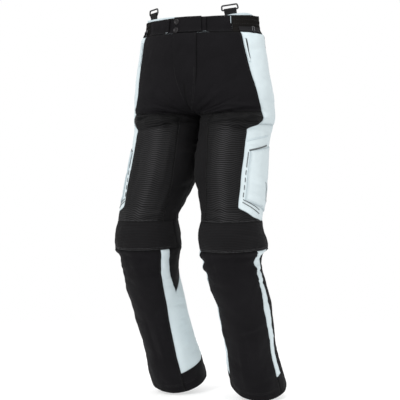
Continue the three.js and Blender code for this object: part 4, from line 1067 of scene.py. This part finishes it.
def sew_stitches():
    """Each stitch is a small spindle of thread that dips into the cloth at both ends."""
    for (colour, group), runs in stitch_runs.items():
        points, faces = [], []
        for line, ways, length, gap, width in runs:
            along = gone_along(line)
            count = max(1, int(along[-1] // (length + gap)))
            centre = (np.arange(count) + 0.5) * along[-1] / count
            start, stop = centre - length / 2, centre + length / 2
            a, b = read(start, along, line), read(stop, along, line)
            m, n = read(centre, along, line), read(centre, along, ways)
            across = unit(np.cross(b - a, n))
            turn = rng.normal(0, 0.12, (count, 1))
            a, b = a - across * turn - n * 0.15, b + across * turn - n * 0.15
            rise = STITCH_HEIGHT * rng.uniform(0.85, 1.15, (count, 1))
            thick = width * rng.uniform(0.9, 1.1, (count, 1))
            ring = [m + across * thick, m + n * rise, m - across * thick, m - n * 0.3]
            base = sum(len(x) for x in points) + np.arange(count)[:, None] * 6
            points.append(np.stack([a, b, *ring], 1).reshape(-1, 3))
            faces.append((base[:, :, None] + np.array(SPINDLE)[None]).reshape(-1, 3))
        piece = new_object(f"stitches_{colour}_{group}", np.concatenate(points) * MM, np.concatenate(faces))
        dress(piece, thread[colour])


ROUND = 10


def bead(name, run, half, rise, material, taper=1.5):
    """A rounded strip along a line: half wide to each side and rise high, narrowing at both ends."""
    line, ways = run
    along = gone_along(line)
    across = unit(np.cross(np.gradient(line, axis=0), ways))
    end = np.minimum(along, along[-1] - along) / taper
    narrow = np.sqrt(np.clip(end * (2 - np.minimum(end, 1)), 0.02, 1))[:, None]
    half, rise = (narrow * np.broadcast_to(size, along.shape)[:, None] for size in (half, rise))
    a = np.arange(ROUND) * 2 * np.pi / ROUND
    ring = (line[:, None] + across[:, None] * (half * np.cos(a))[..., None]
            + ways[:, None] * (rise * np.sin(a))[..., None])
    ends = [list(range(ROUND))[::-1], [(len(line) - 1) * ROUND + j for j in range(ROUND)]]
    piece = new_object(name, ring.reshape(-1, 3) * MM, tube_faces(len(line), ROUND).tolist() + ends)
    dress(piece, material)


def dashes(name, side, places, dash, gap, lift, half, rise, material):
    """A bead broken into dashes."""
    s, t = smooth_line(places, 60)
    along = gone_along(run_on(side, s, t, lift)[0])
    start, number = 0.0, 1
    while start + dash <= along[-1] + 0.5:
        at = np.linspace(start, min(start + dash, along[-1]), 9)
        run = run_on(side, np.interp(at, along, s), np.interp(at, along, t), lift)
        bead(f"{name}_{number}", run, half, rise, material)
        start += dash + gap
        number += 1


THREAD_LIFT = 0.25
ON_POCKET, ON_PANEL = 3.5, 0.7
PIPING = [
    ("top", ON_PANEL, 2.1, 1.3, ((-374, 0.395), (-367, 0.45), (-359, 0.508))),
    ("front", ON_PANEL, 1.3, 1.0, ((-378, 0.393), (-398, 0.391), (-420, 0.389))),
    ("foot", ON_PANEL, 1.2, 1.0, ((-512, 0.369), (-518, 0.391), (-528, 0.427), (-544, 0.482))),
    ("foot_second", ON_PANEL, 0.9, 0.9, ((-505, 0.372), (-511, 0.394), (-520, 0.43), (-534, 0.478))),
    ("rear", ON_POCKET, 1.0, 0.8, ((-459, 0.514), (-486, 0.521), (-514, 0.549))),
]
PIPING_DASHES = ((-427, 0.388), (-456, 0.382), (-486, 0.375), (-512, 0.369))
PIPING_SHIFT = {LEFT: 0.0, RIGHT: -0.022}
# Ends of the seams down the middle, of the hip pocket's welt and its two edges past the side seam.
SEAT_SEAM_END, FLY_SEAM_END = -282, -286
WELT_TOP, WELT_BOTTOM = -70, -132
WELT_NEAR, WELT_FAR = 0.004, 0.017
WELT_OFF, WELT_FOOT = 2.2, 0.8


def welt_edges(side):
    return lambda s: (side_front(side, s) + WELT_NEAR, side_front(side, s) + WELT_FAR)


for side, end in SIDES:
    group = end[1:]

    def upright(colour, edge, top, bottom, off, rise=None):
        s = np.linspace(top, bottom, int(abs(bottom - top) / 2.5) + 2)
        t = edge(side, s) if callable(edge) else np.full(s.shape, float(edge))
        t = beside(side, s, t, off)
        stitch(colour, group, run_on(side, rise(s, t) if rise else s, t, THREAD_LIFT))

    def level(colour, s, first, last):
        t = np.linspace(first, last, int(abs(last - first) * 200) + 4)
        stitch(colour, group, run_on(side, np.full(t.shape, float(s)), t, THREAD_LIFT))

    front_yoke_end = float(side_front(side, YOKE_BOTTOM))
    hem_front = float(gusset_front(side, HEM))
    hem_side = float(stripe_front(side, HEM))
    for off in (-2.4, -5.6):
        upright("dark", side_front, BAND_BOTTOM - 3, YOKE_BOTTOM + 2, off)
        upright("dark", side_front, YOKE_BOTTOM - 3, KNEE_TOP + 3, off)
        upright("dark", stripe_front, KNEE_BOTTOM - 3, HEM + 3, off)
    for off in (2.4, 5.6):
        upright("dark", side_rear, BAND_BOTTOM - 3, KNEE_TOP + 3, off)
        upright("dark", gusset_front, KNEE_BOTTOM - 3, HEM + 3, off)
        level("dark", YOKE_BOTTOM + off, 0.01, front_yoke_end - 0.005)
        level("dark", YOKE_BOTTOM + off, float(side_rear(side, YOKE_BOTTOM)) + 0.005, 0.99)
    upright("dark", STRIPE_REAR, KNEE_BOTTOM - 3, GUSSET_BOTTOM + 3, 2.4)
    upright("dark", GUSSET_REAR, KNEE_BOTTOM - 3, GUSSET_BOTTOM + 3, -2.4, rise=line_rise)
    upright("dark", mesh_in, YOKE_BOTTOM - 3, KNEE_TOP + 3, -2.2)
    upright("dark", 1, BAND_BOTTOM - 3, SEAT_SEAM_END, -2.4)
    upright("dark", 0, FLY_BOTTOM - 4, FLY_SEAM_END, 2.2)
    upright("pale", wedge_front, KNEE_BOTTOM - 3, WEDGE_BOTTOM + 3, 2.2, rise=line_rise)
    upright("pale", side_front, HIP_SIDE_BOTTOM + 3, YOKE_BOTTOM + 4, 2.3)
    level("pale", HIP_SIDE_BOTTOM + 2.3, float(side_front(side, HIP_SIDE_BOTTOM)) + 0.006,
          float(side_rear(side, HIP_SIDE_BOTTOM)) - 0.006)
    level("grey", KNEE_TOP + 2.6, 0.12, 0.5)
    level("dark", KNEE_TOP + 2.6, 0.62, 0.99)
    for row in (KNEE_BOTTOM + 2.6, KNEE_BOTTOM + 6.2):
        level("grey", row, 0.06, 0.53)
        level("dark", row - 9, 0.56, 0.87)
    for row in (GUSSET_BOTTOM - 2.6, HEM + 21, HEM + 17.5, HEM + 2.6):
        level("dark", row, hem_side + 0.004, 1 + hem_front - 0.004)
    for row in (HEM + 21, HEM + 17.5, HEM + 2.6):
        level("dark", row, hem_front + 0.004, hem_side - 0.004)

    # cargo pocket
    line = pocket_line(side)
    for inset in (2.4, 5.0):
        rows = np.linspace(POCKET_TOP - inset, POCKET_BOTTOM + inset, 60)
        first, last = pocket_edges(side)(rows)
        foot = np.linspace(first[-1], last[-1], 50)
        for s, t in ((rows, beside(side, rows, first, inset)), (rows, beside(side, rows, last, -inset)),
                     (np.full(50, rows[-1]), foot)):
            stitch("pale", group, run_on(side, line(s, t), t, 3.0 + THREAD_LIFT))
    shift = (0.0, PIPING_SHIFT[side])
    for name, lift, half, rise, places in PIPING:
        run = run_on(side, *smooth_line(np.add(places, shift)), lift)
        bead(f"pocket_piping_{name}{end}", run, half, rise, piping_grey)
        if name == "front":
            down = np.add(PIPING_DASHES, shift)
            dashes("pocket_piping_dash" + end, side, down, 14, 7, ON_PANEL, 1.2, 1.0, piping_grey)

    # hip pocket
    s, t, far = cut(side, WELT_TOP, WELT_BOTTOM, welt_edges(side), 1.2, 2.2)
    near = np.minimum.reduce(far)
    cloth_at = draped(side, s, t)
    outer = cloth_at(WELT_OFF - 0.5 * np.exp(-(near / 0.9) ** 2))
    inner = cloth_at(np.full(s.shape, WELT_FOOT))
    uv = np.stack([t * MM_PER_T, s], -1)
    # the seam weight darkens the welt towards its edges: soil with painted shade
    piece = wall("pocket_welt" + end + "_cloth", outer, inner, uv, np.exp(-near / 1.2) * 0.5)
    dress(piece, finish["shell_pale"], "pocket_welt" + end)
    rows = np.linspace(WELT_TOP + 2, WELT_BOTTOM + 8, 40)
    slit = beside(side, rows, welt_edges(side)(rows)[1], 1.6)
    wide = 1.0 + 2.2 * np.exp(-((rows + 82) / 20) ** 2)
    # painted shade: a dark bead laid along the slit, where the pocket opening is in shadow
    bead("hip_pocket_mouth_shade" + end, run_on(side, rows, slit, 0.1), wide, 0.5, painted_slit_shade, taper=8)
    stitch("pale", group, run_on(side, rows, beside(side, rows, slit, 4.2), THREAD_LIFT))
    for row in (WELT_TOP + 1, WELT_BOTTOM - 1):
        first, last = welt_edges(side)(np.array(row))
        q = np.linspace(float(first), float(last) + 0.01, 8)
        stitch("pale", group, run_on(side, row, q, WELT_OFF + 0.1), length=1.4, gap=0.3, width=0.7)

# ridge of the seam across the left thigh
ridge = smooth_line([(-349, 0.378), (-344, 0.407), (-339, 0.448), (-333, 0.503)])
bead("thigh_side_ridge_l", run_on(LEFT, *ridge, 0.0), 1.6, 0.9, finish["facing_pale"])
stitch("pale", "l", run_on(LEFT, ridge[0] + 3.2, ridge[1], THREAD_LIFT))

# fly, tab, band and belt loops
for off in (3.0, 6.4):
    rows = np.linspace(FLY_TOP - 2, FLY_BOTTOM + 3, 80)
    edge_q = fly_edge(LEFT, rows) - off / MM_PER_FLY_Q
    stitch("dark", "waist", run_on(LEFT, rows, np.maximum(edge_q, 0.002), FLY_LIFT + THREAD_LIFT))
rows = np.linspace(FLY_TOP - 2, -200, 70)
edge_q = fly_edge(RIGHT, rows) - 3.0 / MM_PER_FLY_Q
stitch("dark", "waist", run_on(RIGHT, rows, edge_q, FLY_LIFT + THREAD_LIFT))
for share in (0.03, 0.91):
    q = np.linspace(*TAB_STITCHES, 60)
    stitch("dark", "waist", run_on_band(q, share, TAB_LIFT + THREAD_LIFT))
for q in TAB_STITCHES:
    stitch("dark", "waist", run_on_band(q, np.linspace(0.03, 0.91, 20), TAB_LIFT + THREAD_LIFT))
PLAIN_BAND = ((BAND_SEAM_R + 0.006, -0.08), (0.09, BAND_SEAM_L - 0.006), (BAND_REAR, 2 - BAND_REAR))
ELASTIC_BAND = ((-BAND_REAR + 0.005, BAND_NOTCH_R - 0.004), (BAND_SEAM_L + 0.005, BAND_REAR - 0.005))
for share in (0.06, 0.93):
    for first, last in PLAIN_BAND:
        q = np.linspace(first, last, int((last - first) * 200) + 4)
        stitch("dark", "waist", run_on_band(q, share, THREAD_LIFT))
for share in (0.25, 0.5, 0.75):
    for first, last in ELASTIC_BAND:
        q = np.linspace(first, last, int((last - first) * 300))
        stitch("dark", "waist", run_on_band(q, share, THREAD_LIFT), length=3.4)
for q in BELT_LOOPS.values():
    for share in (0.055, 0.965):
        run = run_on_band(np.linspace(q - 0.008, q + 0.008, 6), share, float(loop_lift(share)) + 0.1)
        stitch("grey" if share < 0.5 else "pale", "waist", run, length=1.1, gap=0.2, width=0.7)
run = run_on_band(BAND_SEAM_L - 0.006, np.linspace(0.02, 0.5, 14), 0.3)
bead("band_end_l", run, 0.8, 0.6, thread["pale"])
sew_stitches()


# Metal and webbing

def frame_on(side, s, t, lift, level=True):
    """Along the waist, up and out at a place on the cloth, and the place itself, in mm."""
    out = outward(side, s, t)
    if level:
        out = unit(out * (1, 1, 0))
    along = unit(np.cross((0, 0, 1), out))
    return np.stack([along, np.cross(out, along), out], 1), skin(side, s, t, lift)


def placed(points, basis, origin):
    return np.asarray(points) @ basis.T + origin


SNAP_PROFILE = [
    (0, 1.75), (1.6, 1.78), (3, 1.9), (4.2, 2.2), (5, 2.5), (5.7, 2.6), (6.5, 2.5), (7.2, 2.15), (7.9, 1.6),
    (8.3, 1.15), (8.5, 0.7), (8.45, 0.25), (8.1, 0), (0, 0),
]
SNAP_SIDES = 48
SNAPS = (("snap_upper", -20, 0.056, -0.1), ("snap_lower", -44, 0.057, 1.0))


def snap_cap(name, s, t, off):
    """A pressed cap with a rolled rim round a dished middle."""
    basis, origin = frame_on(RIGHT, s, t, TAB_LIFT + off, False)
    turn = np.arange(SNAP_SIDES) * 2 * np.pi / SNAP_SIDES
    rings = SNAP_PROFILE[1:-1]
    points = [(r * np.cos(a), r * np.sin(a), h) for r, h in rings for a in turn]
    points += [(0, 0, SNAP_PROFILE[0][1]), (0, 0, 0)]
    top, foot, last = len(points) - 2, len(points) - 1, (len(rings) - 1) * SNAP_SIDES
    faces = tube_faces(len(rings), SNAP_SIDES)[:, ::-1].tolist()
    for j in range(SNAP_SIDES):
        k = (j + 1) % SNAP_SIDES
        faces += [(top, j, k), (foot, last + k, last + j)]
    piece = new_object(name + "_cap", placed(points, basis, origin) * MM, faces, sharp=60)
    dress(piece, snap_metal, name)


for snap in SNAPS:
    snap_cap(*snap)


def bent_wire(name, basis, origin, width, height, wire, corner, taper, sides=14):
    """A closed four-sided ring of round wire, standing up from its lower bar at the origin."""
    w, h = width / 2 - wire, height - 2 * wire
    top = w - taper
    corners = [(-w, 0), (w, 0), (top, h), (-top, h)]
    path = []
    for i, (x, y) in enumerate(corners):
        here = np.array((x, y))
        before, after = np.array(corners[i - 1]), np.array(corners[(i + 1) % 4])
        a, b = here + unit(before - here) * corner, here + unit(after - here) * corner
        for u in np.linspace(0, 1, 9):
            path.append((1 - u) ** 2 * a + 2 * u * (1 - u) * here + u * u * b)
    fine = []
    for point, after in zip(path, path[1:] + path[:1]):
        count = max(1, round(np.linalg.norm(after - point) / 2))
        fine += [point + (after - point) * k / count for k in range(count)]
    path = np.array(fine)
    ahead = unit(np.roll(path, -1, 0) - np.roll(path, 1, 0))
    side_way = np.stack([ahead[:, 1], -ahead[:, 0]], 1)
    a = np.arange(sides) * 2 * np.pi / sides
    flat = path[:, None] + side_way[:, None] * (wire * np.cos(a))[None, :, None]
    deep = np.broadcast_to(wire * np.sin(a), flat.shape[:2])
    points = np.concatenate([flat, deep[..., None]], -1).reshape(-1, 3)
    return new_object(name, placed(points, basis, origin) * MM, tube_faces(len(path), sides, True))


RING_WIDTH, RING_HEIGHT, RING_WIRE, RING_CORNER, RING_TAPER = 50, 17, 2.2, 4, 1.5
BAR_Z, BAR_PLAY, THROAT = 11, 0.5, 9
LOOP_WIDTH, WEB, LOOP_LIFT, LOOP_FOOT = 34, 1.3, -7.2, -30
WEB_RIB, WEB_RIB_PITCH = 0.12, 2.2
RING_PLACES = {RIGHT: (0.27, 0.05), LEFT: (0.255, 0.17)}
for side, end in SIDES:
    t, lean = RING_PLACES[side]
    basis = frame_on(side, 0, t, LOOP_LIFT)[0]
    origin = tube(side, 0, t) + outward(side, 0, t) * (folds(MAIN_FOLDS, side, 0, t) + LOOP_LIFT)
    turn = np.array([[math.cos(lean), -math.sin(lean), 0], [math.sin(lean), math.cos(lean), 0], [0, 0, 1]])
    basis = basis @ turn
    bar = origin + basis[:, 1] * BAR_Z
    ring = bent_wire("brace_ring_wire" + end, basis, bar, RING_WIDTH, RING_HEIGHT, RING_WIRE, RING_CORNER,
                     RING_TAPER)
    dress(ring, ring_metal, "brace_ring" + end, "ring" + end)

    # webbing folded round the lower bar: up the front, over the bar and down the back
    around = RING_WIRE + BAR_PLAY + WEB / 2
    up = np.linspace(LOOP_FOOT, BAR_Z - THROAT, 14)
    ease = np.linspace(0, 1, 10)[1:]
    open_x = WEB / 2 + (around - WEB / 2) * ease ** 2 * (3 - 2 * ease)
    arc = np.linspace(0, np.pi, 17)[1:-1]
    x = np.concatenate([np.full(14, WEB / 2), open_x, around * np.cos(arc)])
    y = np.concatenate([up, BAR_Z - THROAT + THROAT * ease, BAR_Z + around * np.sin(arc)])
    path = np.stack([np.concatenate([x, -x[:23][::-1]]), np.concatenate([y, y[:23][::-1]])], 1)
    ahead = unit(np.gradient(path, axis=0))
    way = np.stack([ahead[:, 1], -ahead[:, 0]], 1)
    over = LOOP_WIDTH * (spaced(LOOP_WIDTH, 2, TRIM_EDGE) - 0.5)
    grids = []
    for half in (0.5, -0.5):
        edge = path + way * WEB * 0.96 * half
        ribs = WEB_RIB * half * 2 * np.cos(over * 2 * np.pi / WEB_RIB_PITCH)
        out = edge[:, None, 0] + way[:, None, 0] * ribs
        high = edge[:, None, 1] + way[:, None, 1] * ribs
        along = np.broadcast_to(over, out.shape)
        grids.append(placed(np.stack([along, high, out], -1), basis, origin))
    uv = np.stack(np.meshgrid(over, gone_along(path)), -1)
    strap = wall("brace_loop_webbing" + end, *grids, uv, np.zeros(uv.shape[:2]))
    dress(strap, finish["webbing_dark"], "brace_loop" + end)

# slides of the width adjusters
SLIDE_WIDTH, SLIDE_HEIGHT, SLIDE_WIRE, SLIDE_CORNER, SLIDE_DROP = 9, 17.5, 0.9, 1.8, 7.6
for name, q in (("adjuster_slide_r", -0.318), ("adjuster_slide_l", 0.42)):
    side, t = halves(np.array(q))
    basis, origin = frame_on(float(side), BAND_BOTTOM * 0.825, float(t), ADJUSTER_LIFT + 0.5, False)
    bar = origin - basis[:, 1] * SLIDE_DROP
    slide = bent_wire(name, basis, bar, SLIDE_WIDTH, SLIDE_HEIGHT, SLIDE_WIRE, SLIDE_CORNER, 0, sides=8)
    dress(slide, slide_metal)


# Room, light and camera

FLOOR_HALF = 9
FLOOR_UNDER = 0.0015
FLOOR_SOLID = 0.5
FLOOR_GONE = 2.4
AIR_GLOW = 0.68
PAPER_GLOW = 0.42


def pale_paper():
    material, tree, shader = start_material("pale_paper")
    place = put(tree, "ShaderNodeTexCoord").outputs["Object"]
    wear_and_shade = use(tree, WORN_AND_SEAM_SHADE, Place=place, Patch_size=1.5)
    tone = blend(tree, wear_and_shade["Tone"], (0.9, 0.9, 0.9, 1), (0.93, 0.93, 0.93, 1))
    plug(tree, shader["Base Color"], tone)
    shader["Roughness"].default_value = 0.9
    shader["Emission Color"].default_value = (1, 1, 1, 1)
    shader["Emission Strength"].default_value = PAPER_GLOW
    away = put(tree, "ShaderNodeVectorMath", {0: place}, operation="LENGTH").outputs["Value"]
    fade = put(tree, "ShaderNodeMapRange", {"Value": away, "From Min": FLOOR_SOLID, "From Max": FLOOR_GONE,
                                            "To Min": 1.0, "To Max": 0.0}, interpolation_type="SMOOTHSTEP")
    plug(tree, shader["Alpha"], fade.outputs["Result"])
    return material


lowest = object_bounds()[0][2]
ground = lowest - FLOOR_UNDER
corners = np.array([(-FLOOR_HALF, -FLOOR_HALF, ground), (FLOOR_HALF, -FLOOR_HALF, ground),
                    (FLOOR_HALF, FLOOR_HALF, ground), (-FLOOR_HALF, FLOOR_HALF, ground)])
floor = new_object("studio_floor", corners, [(0, 1, 2, 3)], smooth=False)
floor.data.materials.append(pale_paper())

world = bpy.data.worlds.new("studio_air")
bpy.context.scene.world = world
world.use_nodes = True
air = world.node_tree
air.nodes["Background"].inputs["Color"].default_value = (1, 1, 1, 1)
seen = put(air, "ShaderNodeLightPath").outputs["Is Camera Ray"]
plug(air, air.nodes["Background"].inputs["Strength"], calc(air, "MULTIPLY_ADD", seen, 1 - AIR_GLOW, AIR_GLOW))


def soft_light(name, place, aim, size, power):
    lamp = bpy.data.lights.new(name, "AREA")
    lamp.shape, lamp.size, lamp.energy = "DISK", size, power
    holder = bpy.data.objects.new(name, lamp)
    bpy.context.scene.collection.objects.link(holder)
    holder.location = place
    holder.rotation_euler = (Vector(aim) - Vector(place)).to_track_quat("-Z", "Y").to_euler()


MIDDLE = (0, 0, -0.5)
soft_light("light_over", (0.3, -0.6, 1.9), MIDDLE, 1.6, 18)
soft_light("light_front_right", (-0.5, -3.0, 1.5), MIDDLE, 0.6, 44)
soft_light("light_left", (2.9, -1.0, 0.6), MIDDLE, 1.0, 9)
soft_light("light_rear", (-0.6, 2.6, 0.8), MIDDLE, 1.6, 9)

CAMERA_TURN, CAMERA_RISE, CAMERA_FAR = math.radians(25), math.radians(1), 3.5
LENS_LONG, SENSOR_WIDE, SEEN_TO = 111.96, 36, 60
AIM = Vector((-0.004, 0.020, -0.510))
eye = AIM + CAMERA_FAR * Vector((math.sin(CAMERA_TURN) * math.cos(CAMERA_RISE),
                                 -math.cos(CAMERA_TURN) * math.cos(CAMERA_RISE), math.sin(CAMERA_RISE)))
lens = bpy.data.cameras.new("studio_camera")
lens.lens, lens.sensor_width, lens.clip_end = LENS_LONG, SENSOR_WIDE, SEEN_TO
camera = bpy.data.objects.new("studio_camera", lens)
camera.location = eye
camera.rotation_euler = (AIM - eye).to_track_quat("-Z", "Y").to_euler()
bpy.context.scene.collection.objects.link(camera)
bpy.context.scene.camera = camera
bpy.context.scene.view_settings.view_transform = "Standard"
